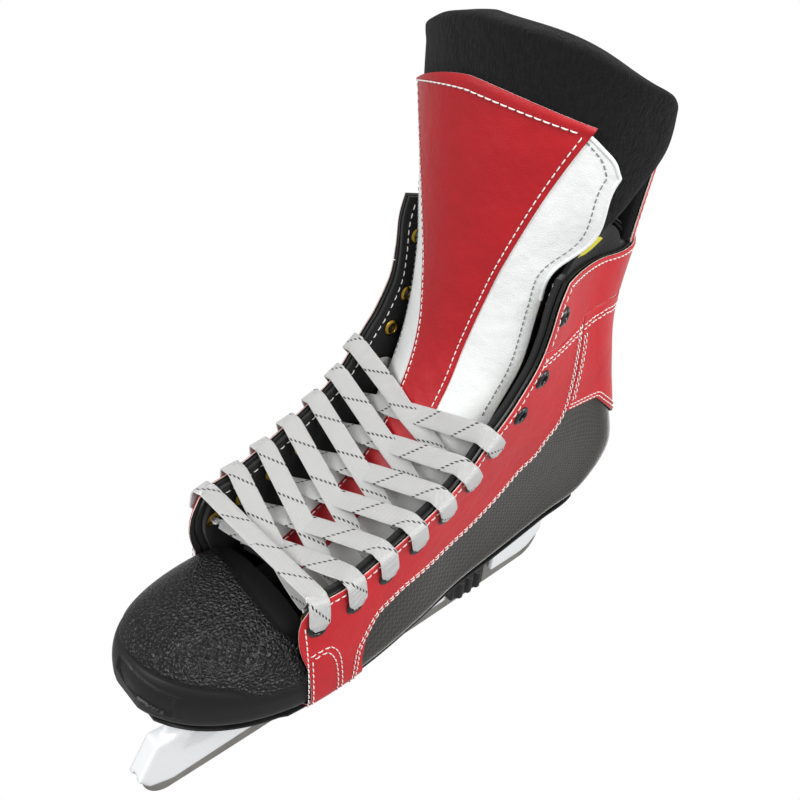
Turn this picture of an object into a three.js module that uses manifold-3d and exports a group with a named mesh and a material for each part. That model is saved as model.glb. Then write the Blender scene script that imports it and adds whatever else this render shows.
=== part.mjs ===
// Ice hockey skate for the left foot. Millimetres, +X to the toe, +Y to the wearer's left, +Z up.
// The boot is made of shells laid over one wall surface, and the blade unit hangs under its sole.
import * as THREE from "three";
import { mergeVertices } from "three/addons/utils/BufferGeometryUtils.js";
import Module from "manifold-3d";

const wasm = await Module();
wasm.setup();

// Driving dimensions.
const GAP = 0.3; // running and seam clearance between neighbouring pieces
const LAYER_GAP = 0.6; // between two curved layers of the boot
const LENGTH_FACTOR = 1; // boot length against the reference last of 297 mm
const WIDTH_FACTOR = 1; // boot width against the reference last of 100 mm
const CARBON = 1.6; // wall of the composite quarters
const LINING = 3; // padded liner
const LEATHER = 1.3; // facing, ankle panel and cuff band
const TOE_WALL = 2.6;
const OUTSOLE = 2.5;
const BOARD = 2;
const FOOTBED = 4;
const EYELETS = 10; // on each side
const LACED = 7; // rows that the lace uses
const EYELET_PITCH = 19;
const EYELET_START = 4.2; // from the front of the throat to the first eyelet
const TOP_EYELET_STEP = 31;
const SETBACK_LOW = 13; // eyelet centre below the throat edge, first and last row
const SETBACK_HIGH = 9;
const EYELET_BORE = 2.3;
const EYELET_WALL = 0.6;
const EYELET_FLANGE = 4.7;
const FLANGE_THICK = 0.8;
const LACE_WIDTH = 9.5;
const LACE_THICK = 1.2;
const LACE_PINCH = 3; // width of the lace where it is gathered in an eyelet
const TONGUE_SKIN = 1.4;
const FELT_LOW = 6;
const FELT_HIGH = 10;
const TONGUE_HINGE_Z = 206;
const GUARD_SHELL = 1.6;
const GUARD_PAD = 5;
const GUARD_BASE_Z = 241.3;
const GUARD_TOP_Z = 297;
const RUNNER_LENGTH = 279;
const RUNNER_THICK = 3;
const RUNNER_HEIGHT = 25;
const RUNNER_FLAT = 14; // length of the flat at the middle of the rocker
const ROCKER = 3000; // radius of the steel's edge
const HOLDER_RAIL = 10; // width of the holder's rail
const HOLDER_LOW = 12; // height of the rail's lower edge above the ice
const HOLDER_FLANGE = 3;
const RIVET = 2; // shank radius
const RIVET_HEAD = 3.5; // head radius
const RIVET_HEAD_THICK = 1.2;
const TRIGGER_TRAVEL = 5;
const TRIGGER_LENGTH = 26;
const TRIGGER_PIN = 1.5; // radius

// Helpers.
const root = new THREE.Group();
const lerp = (a, b, t) => a + (b - a) * t;
const clamp = (v, lo, hi) => Math.min(hi, Math.max(lo, v));
const smooth = (t) => {
  const c = clamp(t, 0, 1);
  return c * c * (3 - 2 * c);
};
const vec = (x, y, z) => new THREE.Vector3(x, y, z);

function material(color, roughness, metalness = 0) {
  return new THREE.MeshStandardMaterial({ color, roughness, metalness });
}

function solidOf(geometry) {
  const bare = geometry.clone();
  bare.deleteAttribute("normal");
  bare.deleteAttribute("uv");
  const merged = mergeVertices(bare, 1e-4);
  const solid = new wasm.Manifold(
    new wasm.Mesh({
      numProp: 3,
      vertProperties: merged.attributes.position.array,
      triVerts: new Uint32Array(merged.index.array),
    }),
  );
  return solid;
}

function geometryOf(solid) {
  const mesh = solid.getMesh();
  return new THREE.BufferGeometry()
    .setAttribute("position", new THREE.BufferAttribute(mesh.vertProperties, 3))
    .setIndex(new THREE.BufferAttribute(mesh.triVerts, 1));
}

function add(name, shape, finish) {
  const mesh = new THREE.Mesh(shape.isBufferGeometry ? shape : geometryOf(shape), finish.clone());
  mesh.name = name;
  root.add(mesh);
  return mesh;
}

// The lateral piece and its mirror image on the medial side.
function addPair(name, shape, finish) {
  add(name + "_lateral", shape, finish);
  add(name + "_medial", shape, finish).scale.y = -1;
}

// Smooth curve through the rows of a table, read at a fractional row number.
function between(table, row) {
  const last = table.length - 1;
  const r = clamp(row, 0, last - 1e-9);
  const i = Math.floor(r);
  const t = r - i;
  const at = (k) => table[clamp(k, 0, last)];
  return table[0].map((_, c) => {
    const [p0, p1, p2, p3] = [at(i - 1)[c], at(i)[c], at(i + 1)[c], at(i + 2)[c]];
    const bend = 2 * p0 - 5 * p1 + 4 * p2 - p3;
    return 0.5 * (2 * p1 + (p2 - p0) * t + bend * t * t + (3 * p1 - p0 - 3 * p2 + p3) * t ** 3);
  });
}

// A closed slab over a grid of surface points, from offset `low` to offset `high` along their normals.
function slab(rows, columns, surface, low, high) {
  const stride = columns + 1;
  const layer = (rows + 1) * stride;
  const points = [];
  for (const offset of [high, low])
    for (let i = 0; i <= rows; i++)
      for (let j = 0; j <= columns; j++) {
        const { p, n } = surface(i / rows, j / columns);
        const o = typeof offset === "function" ? offset(i / rows, j / columns) : offset;
        points.push(p.clone().addScaledVector(n, o));
      }
  const faces = [];
  const quad = (a, b, c, d) => faces.push([a, b, c], [a, c, d]);
  for (let i = 0; i < rows; i++)
    for (let j = 0; j < columns; j++) {
      const a = i * stride + j;
      quad(a, a + stride, a + stride + 1, a + 1);
      quad(layer + a, layer + a + 1, layer + a + stride + 1, layer + a + stride);
    }
  for (let j = 0; j < columns; j++) {
    const b = rows * stride + j;
    quad(j, j + 1, layer + j + 1, layer + j);
    quad(b, layer + b, layer + b + 1, b + 1);
  }
  for (let i = 0; i < rows; i++) {
    const a = i * stride;
    const b = a + columns;
    quad(a, layer + a, layer + a + stride, a + stride);
    quad(b, b + stride, layer + b + stride, layer + b);
  }
  return closed(points, faces);
}

// A geometry from points and triangles, turned so that its faces point out.
function closed(points, faces) {
  let volume = 0;
  for (const [a, b, c] of faces) volume += points[a].dot(points[b].clone().cross(points[c]));
  const index = faces.flatMap(([a, b, c]) => (volume > 0 ? [a, b, c] : [a, c, b]));
  const geometry = new THREE.BufferGeometry();
  geometry.setAttribute(
    "position",
    new THREE.Float32BufferAttribute(points.flatMap((p) => p.toArray()), 3),
  );
  geometry.setIndex(index);
  return geometry;
}

// A loft through closed rings of equal point count, capped at both ends by fans.
function loft(rings) {
  const count = rings[0].length;
  const points = rings.flat();
  const faces = [];
  for (let i = 0; i + 1 < rings.length; i++)
    for (let j = 0; j < count; j++) {
      const k = (j + 1) % count;
      const a = i * count;
      const b = a + count;
      faces.push([a + j, b + j, b + k], [a + j, b + k, a + k]);
    }
  for (const [ring, start] of [[rings[0], 0], [rings[rings.length - 1], (rings.length - 1) * count]]) {
    const middle = ring.reduce((sum, p) => sum.add(p), vec(0, 0, 0)).divideScalar(count);
    points.push(middle);
    const m = points.length - 1;
    for (let j = 0; j < count; j++) {
      const k = (j + 1) % count;
      faces.push(start ? [m, start + k, start + j] : [m, j, k]);
    }
  }
  return closed(points, faces);
}

// An outline in side view, as wide as `width` about the middle plane.
function sideExtrude(outline, width) {
  const shape = new THREE.Shape(outline.map(([x, z]) => new THREE.Vector2(x, z)));
  const geometry = new THREE.ExtrudeGeometry(shape, { depth: width, bevelEnabled: false });
  return geometry.rotateX(Math.PI / 2).translate(0, width / 2, 0);
}

function box(x0, x1, y0, y1, z0, z1) {
  const geometry = new THREE.BoxGeometry(x1 - x0, y1 - y0, z1 - z0);
  return geometry.translate((x0 + x1) / 2, (y0 + y1) / 2, (z0 + z1) / 2);
}

// Cylinder or tube about the line from `from` along `axis`; profile is a list of [radius, height].
function turned(profile, from, axis, segments) {
  const geometry = new THREE.LatheGeometry(
    profile.map(([r, h]) => new THREE.Vector2(r, h)),
    segments,
  );
  geometry.applyQuaternion(new THREE.Quaternion().setFromUnitVectors(vec(0, 1, 0), axis));
  return geometry.translate(from.x, from.y, from.z);
}

function rod(radius, from, axis, length, segments = 12) {
  return turned([[0, 0], [radius, 0], [radius, length], [0, length]], from, axis, segments);
}

// The wall surface. Each row of the last is a flat section of the boot, drawn in side view from the
// throat T to the sole or back B, with half widths at the throat and at the widest point, the height
// of the rounded part next to B, and the power of its superellipse.
const LAST = [
  [224, 131, 231, 64, 39, 43.5, 15, 3.4],
  [213, 134, 214, 63.5, 42.5, 45, 15, 3.4],
  [200.5, 135.5, 196, 63.5, 43.5, 45, 15, 3.4],
  [183, 141.5, 172, 64, 44, 43.5, 15, 3.4],
  [166.5, 148.5, 146, 66.5, 44.5, 41, 15, 3.4],
  [150.7, 156.4, 118, 70, 45, 37.5, 15, 3.5],
  [137.7, 165.6, 84, 73, 45, 35.5, 15, 3.6],
  [126, 179.5, 44, 75, 45.5, 33, 16, 3.4],
  [119.5, 187, 12, 77.5, 46, 33, 20, 3],
  [113.4, 194.5, -11, 97, 46.2, 35.5, 38, 2.5],
  [105, 209.3, -4, 128, 47, 35.5, 44, 2.4],
  [102, 224, 6, 160, 48, 36, 46, 2.3],
  [101, 239, 13, 196, 48.8, 36, 46, 2.2],
  [98, 250, 9, 238, 49, 36.5, 46, 2.2],
].map(([tx, tz, bx, bz, wt, wc, cb, n]) => [
  tx * LENGTH_FACTOR,
  tz,
  bx * LENGTH_FACTOR,
  bz,
  wt * WIDTH_FACTOR,
  wc * WIDTH_FACTOR,
  cb,
  n,
]);
const LAST_ROW = LAST.length - 1;

// A point of the lateral wall: u is the fractional row, q runs from -1 at B to 1 at the throat.
function wallPoint(u, q) {
  const [tx, tz, bx, bz, wt, wc, cb, n] = between(LAST, u);
  const span = Math.hypot(tx - bx, tz - bz);
  const c = cb / span;
  const cx = lerp(bx, tx, c);
  const cz = lerp(bz, tz, c);
  if (q >= 0) return vec(lerp(cx, tx, q), wc + (wt - wc) * q ** 1.5, lerp(cz, tz, q));
  const h = Math.sin((-q * Math.PI) / 2);
  return vec(lerp(cx, bx, h), wc * Math.max(0, 1 - h ** n) ** (1 / n), lerp(cz, bz, h));
}

function wall(u, q) {
  const e = 1e-3;
  const du = wallPoint(Math.min(u + e, LAST_ROW), q).sub(wallPoint(Math.max(u - e, 0), q));
  const dq = wallPoint(u, Math.min(q + e, 1)).sub(wallPoint(u, Math.max(q - e, -1)));
  const n = dq.cross(du).normalize();
  const p = wallPoint(u, q);
  if (n.y < 0) n.negate();
  if (q <= -0.999) {
    const [tx, tz, bx, bz] = between(LAST, u);
    n.set(bx - tx, 0, bz - tz).normalize();
    p.y = 0;
  }
  return { p, n };
}

// The wall coordinates of a side-view point.
function locate(x, z) {
  const side = (u) => {
    const [tx, tz, bx, bz] = between(LAST, u);
    return (x - bx) * (tz - bz) - (z - bz) * (tx - bx);
  };
  let [low, high] = [0, LAST_ROW];
  for (let k = 0; k < 40; k++) {
    const middle = (low + high) / 2;
    if (side(middle) > 0) high = middle;
    else low = middle;
  }
  const u = (low + high) / 2;
  const [tx, tz, bx, bz, , , cb] = between(LAST, u);
  const span = Math.hypot(tx - bx, tz - bz);
  const along = ((x - bx) * (tx - bx) + (z - bz) * (tz - bz)) / span;
  const h = along >= cb ? (along - cb) / (span - cb) : (along - cb) / cb;
  return [u, h >= 0 ? h : (-Math.asin(clamp(-h, 0, 1)) * 2) / Math.PI];
}

// The q of the point on section u that is `rise` away from B.
function atRise(u, rise) {
  const cb = between(LAST, u)[6];
  return (-Math.asin(clamp(1 - rise / cb, 0, 1)) * 2) / Math.PI;
}

// A run of side-view or wall points as a function of 0 to 1; `stops` says where each point lies.
function path(points, stops) {
  return (t) => {
    let k = 0;
    while (k < stops.length - 2 && t > stops[k + 1]) k++;
    const s = (t - stops[k]) / (stops[k + 1] - stops[k]);
    return [lerp(points[k][0], points[k + 1][0], s), lerp(points[k][1], points[k + 1][1], s)];
  };
}

// The S-shaped front edge of the quarters, in front of the first row of the last at mid height.
const frontEdge = (q) => 0.35 - 0.33 * Math.sin(Math.PI * clamp((q + 0.9) / 1.9, 0, 1));

// A wall piece between two curves of (u, q), from its front (t = 0) to its rear or top (t = 1).
function strip(rows, columns, lower, upper, low, high, front) {
  const surface = (t, s) => {
    const a = lower(t);
    const b = upper(t);
    const c = s ** 1.3;
    const q = lerp(a[1], b[1], c);
    const straight = lerp(a[0], b[0], c);
    const fade = Math.max(0, 1 - t / 0.12);
    const u = front ? lerp(straight, Math.max(front(q), 0), fade) : straight;
    return wall(u, q);
  };
  return slab(rows, columns, surface, low, high);
}

// Eyelet places along the throat, and the tools that cut their bores.
function eyeletPlace(u, k) {
  const setback = lerp(SETBACK_LOW, SETBACK_HIGH, smooth(k / (EYELETS - 1)));
  const [tx, tz, bx, bz, , , cb] = between(LAST, u);
  const span = Math.hypot(tx - bx, tz - bz);
  return wall(u, 1 - setback / (span - cb));
}

function eyeletRows() {
  const rows = [];
  let u = 0.4;
  let walked = 0;
  let goal = EYELET_START;
  let last = eyeletPlace(u, 0).p;
  for (let k = 0; k < EYELETS; k++) {
    while (walked < goal && u < LAST_ROW) {
      u += 0.005;
      const next = eyeletPlace(u, k).p;
      walked += next.distanceTo(last);
      last = next;
    }
    rows.push({ u, ...eyeletPlace(u, k) });
    goal = walked + (k === EYELETS - 2 ? TOP_EYELET_STEP : EYELET_PITCH);
  }
  return rows;
}

const rows = eyeletRows();
const EYELET_SIDES = 6;
const LEATHER_TOP = LAYER_GAP + LEATHER;
const LINER_TOP = -CARBON - LAYER_GAP;
const LINER_BOTTOM = LINER_TOP - LINING;

function pierced(geometry, chosen = rows) {
  let solid = solidOf(geometry);
  for (const { p, n } of chosen) {
    const start = p.clone().addScaledVector(n, LINER_BOTTOM - 6);
    const bore = rod(EYELET_BORE + EYELET_WALL + GAP, start, n, 20, EYELET_SIDES);
    solid = solid.subtract(solidOf(bore));
  }
  return solid;
}

// Quarters, liners and leather.
const carbonFinish = material(0x343434, 0.25);
const linerFinish = material(0x121213, 0.9);
const redFinish = material(0xb4262e, 0.5);

const backSeam = (u) => smooth((u - 7.2) / 1.3);
const SEAM_Q = -0.9995;

function quarterCurve(rise) {
  return (t) => {
    const u = lerp(0.35, LAST_ROW, t);
    return [u, lerp(atRise(u, rise), SEAM_Q, backSeam(u))];
  };
}
const throatCurve = (t) => [lerp(0.35, LAST_ROW, t), 1];

// Keeps a right-hand seam of GAP at the middle plane by cutting there.
function halved(solid) {
  const keep = box(-100, 400, GAP / 2, 120, -10, 400);
  return solid.intersect(solidOf(keep));
}

const BOARD_LOW = CARBON + 2.6; // above the sole line
const BOARD_TOP = BOARD_LOW + BOARD;
const FOOTBED_TOP = BOARD_TOP + GAP + FOOTBED;
const quarter = strip(21, 8, quarterCurve(0.9), throatCurve, -CARBON, 0, frontEdge);
addPair("quarter", halved(pierced(quarter)), carbonFinish);
const linerRise = BOARD_TOP + 1.2;
const liner = strip(21, 8, quarterCurve(linerRise), throatCurve, LINER_BOTTOM, LINER_TOP, frontEdge);
addPair("liner", halved(pierced(liner)), linerFinish);

// Leather outlines in side view.
const side = (points) => points.map(([x, z]) => locate(x * LENGTH_FACTOR, z));
const BAND_Z = 217;
const facingLower = path(
  [
    [0.35, atRise(0.35, 3)],
    [2.35, atRise(2.35, 3)],
    ...side([[195, 70], [194, 79], [193, 91], [184, 106], [170, 111], [149, 113.5], [126, 119]]),
    ...side([[105, 128.5], [91, 138], [76, 151], [66, 164], [64, 190], [66, BAND_Z - GAP]]),
  ],
  [0, 4, 5, 6, 7, 8, 9.5, 11.5, 13.5, 15.5, 17, 19, 20.5, 22.5, 24].map((row) => row / 24),
);
const bandFront = locate(103 * LENGTH_FACTOR, BAND_Z)[0];
const facingUpper = (t) => [lerp(0.35, bandFront - 0.02, t), 1];
const facing = strip(24, 7, facingLower, facingUpper, LAYER_GAP, LEATHER_TOP, frontEdge);
addPair("facing", pierced(facing, rows.slice(0, -1)), redFinish);

// The ankle panel and the band above it run from the facing to the back seam.
function panel(columns, rowsUp, lower, upper) {
  const surface = (s, t) => {
    const a = lower(s);
    const b = upper(s);
    return wall(lerp(a[0], b[0], t), Math.max(lerp(a[1], b[1], t), SEAM_Q));
  };
  return slab(columns, rowsUp, surface, LAYER_GAP, LEATHER_TOP);
}
const seam = GAP / 2 + 0.2;
const ankleLower = path(
  [...side([[66 - seam * 2, 164], [51, 160.5], [35, 157]]), [9.75, -0.55], [9.7, -1]],
  [0, 0.2, 0.4, 0.7, 1],
);
const rearBand = 12.35;
const ankleUpper = path(
  [...side([[66 - seam * 2, BAND_Z - GAP], [45, BAND_Z + 1]]), [rearBand - 0.05, -0.6], [rearBand - 0.03, -1]],
  [0, 0.35, 0.7, 1],
);
addPair("ankle_panel", halved(solidOf(panel(10, 5, ankleLower, ankleUpper))), redFinish);
const bandLower = path(
  [[bandFront + 0.02, 1], ...side([[66, BAND_Z + GAP], [45, BAND_Z + 1.6]]), [rearBand, -0.6], [rearBand, -1]],
  [0, 0.35, 0.52, 0.78, 1],
);
const bandUpper = path([[LAST_ROW, 1], [LAST_ROW, 0], [LAST_ROW, -1]], [0, 0.55, 1]);
const band = panel(14, 3, bandLower, bandUpper);
addPair("cuff_band", halved(pierced(band, rows.slice(-1))), redFinish);

// Toe cap: a dome whose tip leans to the medial side, open below and to the rear.
const TOE = {
  x: 205 * LENGTH_FACTOR,
  length: 76 * LENGTH_FACTOR,
  width: 44.7 * WIDTH_FACTOR,
  height: 47.5,
  sole: 64,
  spring: 6,
  lean: -10,
};
const bulge = (s, power) => Math.max(0, 1 - s ** power) ** (1 / power);
const toeSole = (s) => TOE.sole + TOE.spring * s ** 4;
const toeLean = (s) => TOE.lean * s ** 1.5;

function toePoint(s, a) {
  const height = TOE.height * bulge(s, 2.7);
  const c = Math.cos(a);
  const d = Math.sin(a);
  const waist = toeSole(s) + 0.34 * height;
  const power = d >= 0 ? 2 / 2.3 : 2 / 4;
  const y = TOE.width * bulge(s, 2.4) * Math.sign(c) * Math.abs(c) ** power + toeLean(s);
  const rise = d >= 0 ? 0.66 * height * d ** power : -0.34 * height * Math.abs(d) ** power;
  return vec(TOE.x + TOE.length * s, y, waist + rise);
}

function toe(s, a) {
  const e = 2e-3;
  const ds = toePoint(Math.min(s + e, 0.9999), a).sub(toePoint(Math.max(s - e, 0), a));
  const da = toePoint(s, a + e).sub(toePoint(s, a - e));
  return { p: toePoint(s, a), n: da.cross(ds).normalize().negate() };
}

// Where the toe cap ends at the rear: under the throat between the facings, and along the
// quarters' front edge at the sides.
function toeRear(a) {
  const p = toePoint(0.2, a);
  const [u, q] = locate(222 * LENGTH_FACTOR, Math.min(p.z, 128));
  const edge = wall(Math.max(frontEdge(q), 0), clamp(q, -0.9, 1)).p.x + 2.2;
  const atSide = smooth((Math.abs(p.y) - 27 * WIDTH_FACTOR) / 6);
  const x = lerp(213 * LENGTH_FACTOR, Math.max(edge, 222 * LENGTH_FACTOR), u > 3 ? 1 : atSide);
  return clamp((x - TOE.x) / TOE.length, 0, 0.6);
}

const TOE_LIP = 0.95; // how far the cap wraps under the sole, in radians below the waist
function toeSurface(t, v) {
  const a = lerp(-TOE_LIP, Math.PI + TOE_LIP, v);
  const tip = 0.985;
  const s = lerp(toeRear(a), tip, Math.sin((t * Math.PI) / 2));
  return toe(s, a);
}

function toeCap() {
  const body = solidOf(slab(10, 20, toeSurface, -TOE_WALL, 0));
  const rings = [];
  for (const depth of [0, TOE_WALL]) {
    const ring = [];
    for (let k = 0; k <= 20; k++) {
      const { p, n } = toeSurface(1, k / 20);
      ring.push(p.clone().addScaledVector(n, -TOE_WALL / 2).add(vec(-depth, 0, 0)));
    }
    rings.push(ring);
  }
  return body.add(solidOf(loft(rings.reverse())));
}

// The sole line: height of the boot's underside, and its half widths to each side.
function soleHeight(x) {
  if (x > TOE.x + 0.3 * TOE.length) return toeSole((x - TOE.x) / TOE.length);
  let u = 0;
  while (u < 8 && between(LAST, u)[2] > x) u += 0.02;
  return between(LAST, u)[3];
}

function soleWidths(x, rise, inset) {
  const s = (x - TOE.x) / TOE.length;
  if (s > 0.33) {
    const half = TOE.width * bulge(Math.min(s, 1), 2.4);
    const round = clamp(rise / (0.34 * TOE.height), 0.03, 1);
    const kept = half * (1 - (1 - round) ** 4) ** 0.25;
    return [Math.max(kept + toeLean(s) - inset, 2), Math.max(kept - toeLean(s) - inset, 2)];
  }
  const [u, q] = locate(x, soleHeight(x) + rise);
  const half = Math.max(wallPoint(u, q).y - inset, 3);
  return [half, half];
}

// A plate that follows the sole, from x0 to x1, between two heights above the sole line.
function soledPlate(x0, x1, low, high, rise, inset, count) {
  const rings = [];
  for (let i = 0; i <= count; i++) {
    const x = lerp(x0, x1, 0.5 - 0.5 * Math.cos((i / count) * Math.PI));
    const base = soleHeight(x);
    const [left, right] = soleWidths(x, rise, inset);
    const round = Math.sqrt(Math.min(1, (x - x0 + 1.5) / 20));
    const [yl, yr] = [left * round, right * round];
    rings.push([
      vec(x, -yr, base + low),
      vec(x, yl, base + low),
      vec(x, yl, base + high),
      vec(x, -yr, base + high),
    ]);
  }
  return loft(rings);
}
const TOE_TIP = TOE.x + TOE.length;

// A block of the sole's course, from x0 to x1, between two heights relative to the sole line.
function soleCourse(x0, x1, half, low, high) {
  const rings = [];
  const count = Math.ceil((x1 - x0) / 12);
  for (let i = 0; i <= count; i++) {
    const x = lerp(x0, x1, i / count);
    const base = soleHeight(Math.min(x, TOE_TIP - 1));
    rings.push([
      vec(x, -half, base + low),
      vec(x, half, base + low),
      vec(x, half, base + high),
      vec(x, -half, base + high),
    ]);
  }
  return solidOf(loft(rings));
}

const toeFloor = soleCourse(TOE.x, TOE_TIP, 60, -12, 0.2);
add("toe_cap", toeCap().subtract(toeFloor), material(0x1c1c1e, 0.6));
const outsole = soledPlate(1, TOE_TIP - 4, -OUTSOLE - GAP, -GAP, 4, 0, 20);
const board = soledPlate(9, TOE_TIP - 10, BOARD_LOW, BOARD_TOP, BOARD_LOW, CARBON + 5.2, 16);
const bedLow = BOARD_TOP + GAP;
const ORIGIN = vec(120 * LENGTH_FACTOR, 0, soleHeight(120 * LENGTH_FACTOR) + FOOTBED_TOP);
const footbed = soledPlate(13, TOE_TIP - 14, bedLow, FOOTBED_TOP, bedLow, -LINER_BOTTOM + 1.5, 16);

// Tongue surface. Rows: front centre in side view, direction of its face from upright in degrees,
// radius of its curve across, half width.
const TONGUE = [
  [207, 112, 16, 45, 35.5],
  [190, 118.5, 20, 44, 36],
  [170, 128, 27, 42, 35],
  [150, 141, 38, 42, 33.5],
  [134, 160, 52, 43, 33],
  [122.5, 183, 68, 45, 34],
  [117, 205, 82, 46, 37],
  [115, 232, 90, 48, 38.5],
  [115, 250, 90, 52, 41],
  [115, 265, 90, 57, 50],
  [115.2, 285, 90, 63, 58],
  [115.6, 308, 90, 67, 63.5],
  [116, 330, 90, 68, 64],
  [116, 346, 90, 68, 62],
].map(([x, z, turn, r, w]) => [x * LENGTH_FACTOR, z, turn, r * WIDTH_FACTOR, w * WIDTH_FACTOR]);
const TONGUE_ROW = TONGUE.length - 1;

// The tongue row whose centre is at height z, above the ankle bend.
function tongueRowAt(z) {
  let [low, high] = [4, TONGUE_ROW];
  for (let k = 0; k < 40; k++) {
    const middle = (low + high) / 2;
    if (between(TONGUE, middle)[1] > z) high = middle;
    else low = middle;
  }
  return low;
}

// A point of the tongue: k is the fractional row, y the distance from the middle plane.
function tongueAt(k, y) {
  const [x, z, turn, r] = between(TONGUE, k);
  const a = THREE.MathUtils.degToRad(turn);
  const across = Math.asin(clamp(y / r, -1, 1));
  const out = vec(Math.sin(a), 0, Math.cos(a));
  const p = vec(x, 0, z).addScaledVector(out, -r * (1 - Math.cos(across)));
  p.y = y;
  const n = out.multiplyScalar(Math.cos(across));
  n.y = Math.sin(across);
  return { p, n };
}

function tonguePiece(k0, k1, count, columns, inset, low, high, dome = 0) {
  const surface = (t, v) => {
    const side = 2 * v - 1;
    const k = lerp(k0, k1, t);
    const half = between(TONGUE, k)[4] - inset(k);
    const { p, n } = tongueAt(k, half * Math.sin((side * Math.PI) / 2.6) / Math.sin(Math.PI / 2.6));
    p.z -= dome * t ** 6 * side ** 4;
    return { p, n };
  };
  return slab(count, columns, surface, low, high);
}
const hingeRow = tongueRowAt(TONGUE_HINGE_Z);
const seamRow = (GAP / 2 / 27) * 1.2; // half the gap at the hinge, in tongue rows
const topRow = tongueRowAt(345);
const faceRow = tongueRowAt(322);
const feltInset = () => 0;
const faceInset = (k) => lerp(1.5, 9, smooth((k - 7) / 4));
const feltFinish = material(0x19191b, 1);
const feltThick = (t) => -GAP - lerp(FELT_LOW, FELT_HIGH, t);
const lowerBottom = () => -GAP - FELT_LOW;
const upperBottom = (t) => feltThick(smooth(t * 3));
add(
  "tongue_felt_lower",
  tonguePiece(0, hingeRow - seamRow, 10, 8, feltInset, lowerBottom, -GAP),
  feltFinish,
);
add(
  "tongue_face_lower",
  tonguePiece(0, hingeRow - seamRow, 10, 8, faceInset, 0.1, TONGUE_SKIN),
  redFinish,
);
add(
  "tongue_felt_upper",
  tonguePiece(hingeRow + seamRow, topRow, 9, 10, feltInset, upperBottom, -GAP, 16),
  feltFinish,
);
add(
  "tongue_face_upper",
  tonguePiece(hingeRow + seamRow, faceRow, 8, 10, faceInset, 0.1, TONGUE_SKIN, 12),
  redFinish,
);

// Tendon guard: a shell and its pad round the back of the leg, above the cuff.
const [, , cuffBackX, cuffBackZ] = LAST[LAST_ROW];
const GUARD = { lean: -13, depth: 44, taper: -8, width: 36.5, narrow: -5, low: 1.02, high: 0.83 };
function guardSurface(t, v) {
  const rise = GUARD_TOP_Z - GUARD_BASE_Z;
  const h = t - 0.2 * t ** 5 * (2 * v - 1) ** 4;
  const a = (2 * v - 1) * lerp(GUARD.low, GUARD.high, h);
  const depth = GUARD.depth + GUARD.taper * h;
  const width = (GUARD.width + GUARD.narrow * h) * WIDTH_FACTOR;
  const back = cuffBackX + 0.3 + GUARD.lean * h ** 1.2;
  const p = vec(back + depth * (1 - Math.cos(a)), width * Math.sin(a), GUARD_BASE_Z + rise * h);
  const n = vec(-Math.cos(a) / depth, Math.sin(a) / width, 0).normalize();
  return { p, n };
}
add("tendon_guard", slab(5, 10, guardSurface, 0, GUARD_SHELL), redFinish);
add("tendon_guard_lining", slab(5, 10, guardSurface, -LAYER_GAP - GUARD_PAD, -LAYER_GAP), linerFinish);

// Eyelets: a flange outside, a tube through the layers and a turned-over ring inside.
const eyeletFinish = material(0x141414, 0.35, 0.4);
function eyelet({ p, n }) {
  const top = LEATHER_TOP + GAP;
  const low = LINER_BOTTOM - LAYER_GAP;
  const outer = EYELET_BORE + EYELET_WALL;
  const profile = [
    [EYELET_BORE, low - FLANGE_THICK],
    [EYELET_FLANGE - 0.6, low],
    [outer, low],
    [outer, top],
    [EYELET_FLANGE, top],
    [EYELET_BORE, top + FLANGE_THICK],
    [EYELET_BORE, low - FLANGE_THICK],
  ];
  return turned(profile, p, n, EYELET_SIDES);
}
rows.forEach((row, i) => addPair(`eyelet_${i + 1}`, eyelet(row), eyeletFinish));

// The lace. A knot of its route is a place, the direction its flat side faces, width and thickness.
const OVER = LEATHER_TOP + GAP + FLANGE_THICK + GAP + LACE_THICK / 2;
const UNDER = LINER_BOTTOM - 2 * GAP - FLANGE_THICK - LACE_THICK / 2;
const mirrored = (v) => vec(v.x, -v.y, v.z);
const knot = (p, n, w = LACE_WIDTH, h = LACE_THICK) => ({ p, n, w, h });

function edgeAt(u) {
  const { p, n } = wall(u, 1);
  const inner = wallPoint(u, 0.97);
  return { p, n, up: p.clone().sub(inner).normalize() };
}

// Lifts a lace point clear of the tongue's face.
function lifted(p) {
  let best = { gap: Infinity };
  for (let k = 0; k <= hingeRow; k += 0.05) {
    const { p: q, n } = tongueAt(k, clamp(p.y, -36, 36));
    const gap = p.distanceTo(q);
    if (gap < best.gap) best = { gap, q, n };
  }
  const height = p.clone().sub(best.q).dot(best.n);
  const need = TONGUE_SKIN + LACE_THICK / 2 + 1.7;
  return { p: p.clone().addScaledVector(best.n, Math.max(0, need - height)), n: best.n };
}

// From the outside of one eyelet over its facing edge: knots from the edge down to the bore.
function entering(row) {
  const { p, n } = row;
  const edge = edgeAt(row.u);
  const up = edge.up;
  const at = (rise, out) => p.clone().addScaledVector(up, rise).addScaledVector(n, out);
  const over = (rise, out) => edge.p.clone().addScaledVector(up, rise).addScaledVector(n, out);
  const thick = LACE_THICK;
  return [
    knot(over(2.6, LINER_BOTTOM * 0.7), up.clone()),
    knot(over(2.6, LEATHER_TOP * 0.4), up.clone().addScaledVector(n, 0.4).normalize()),
    knot(over(1.2, LEATHER_TOP + 1.8), up.clone().add(n).normalize()),
    knot(at(5.5, OVER + 0.5), n.clone()),
    knot(at(3.4, OVER + 0.2), n.clone(), LACE_WIDTH * 0.8, thick * 1.1),
    knot(at(0.7, OVER), n.clone().sub(up).normalize(), LACE_PINCH, thick * 1.2),
    knot(at(0, LEATHER_TOP - 0.4), up.clone().negate(), LACE_PINCH * 0.95, thick * 1.2),
    knot(at(0, UNDER), up.clone().negate(), LACE_PINCH * 0.95, thick * 1.2),
  ];
}

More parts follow.
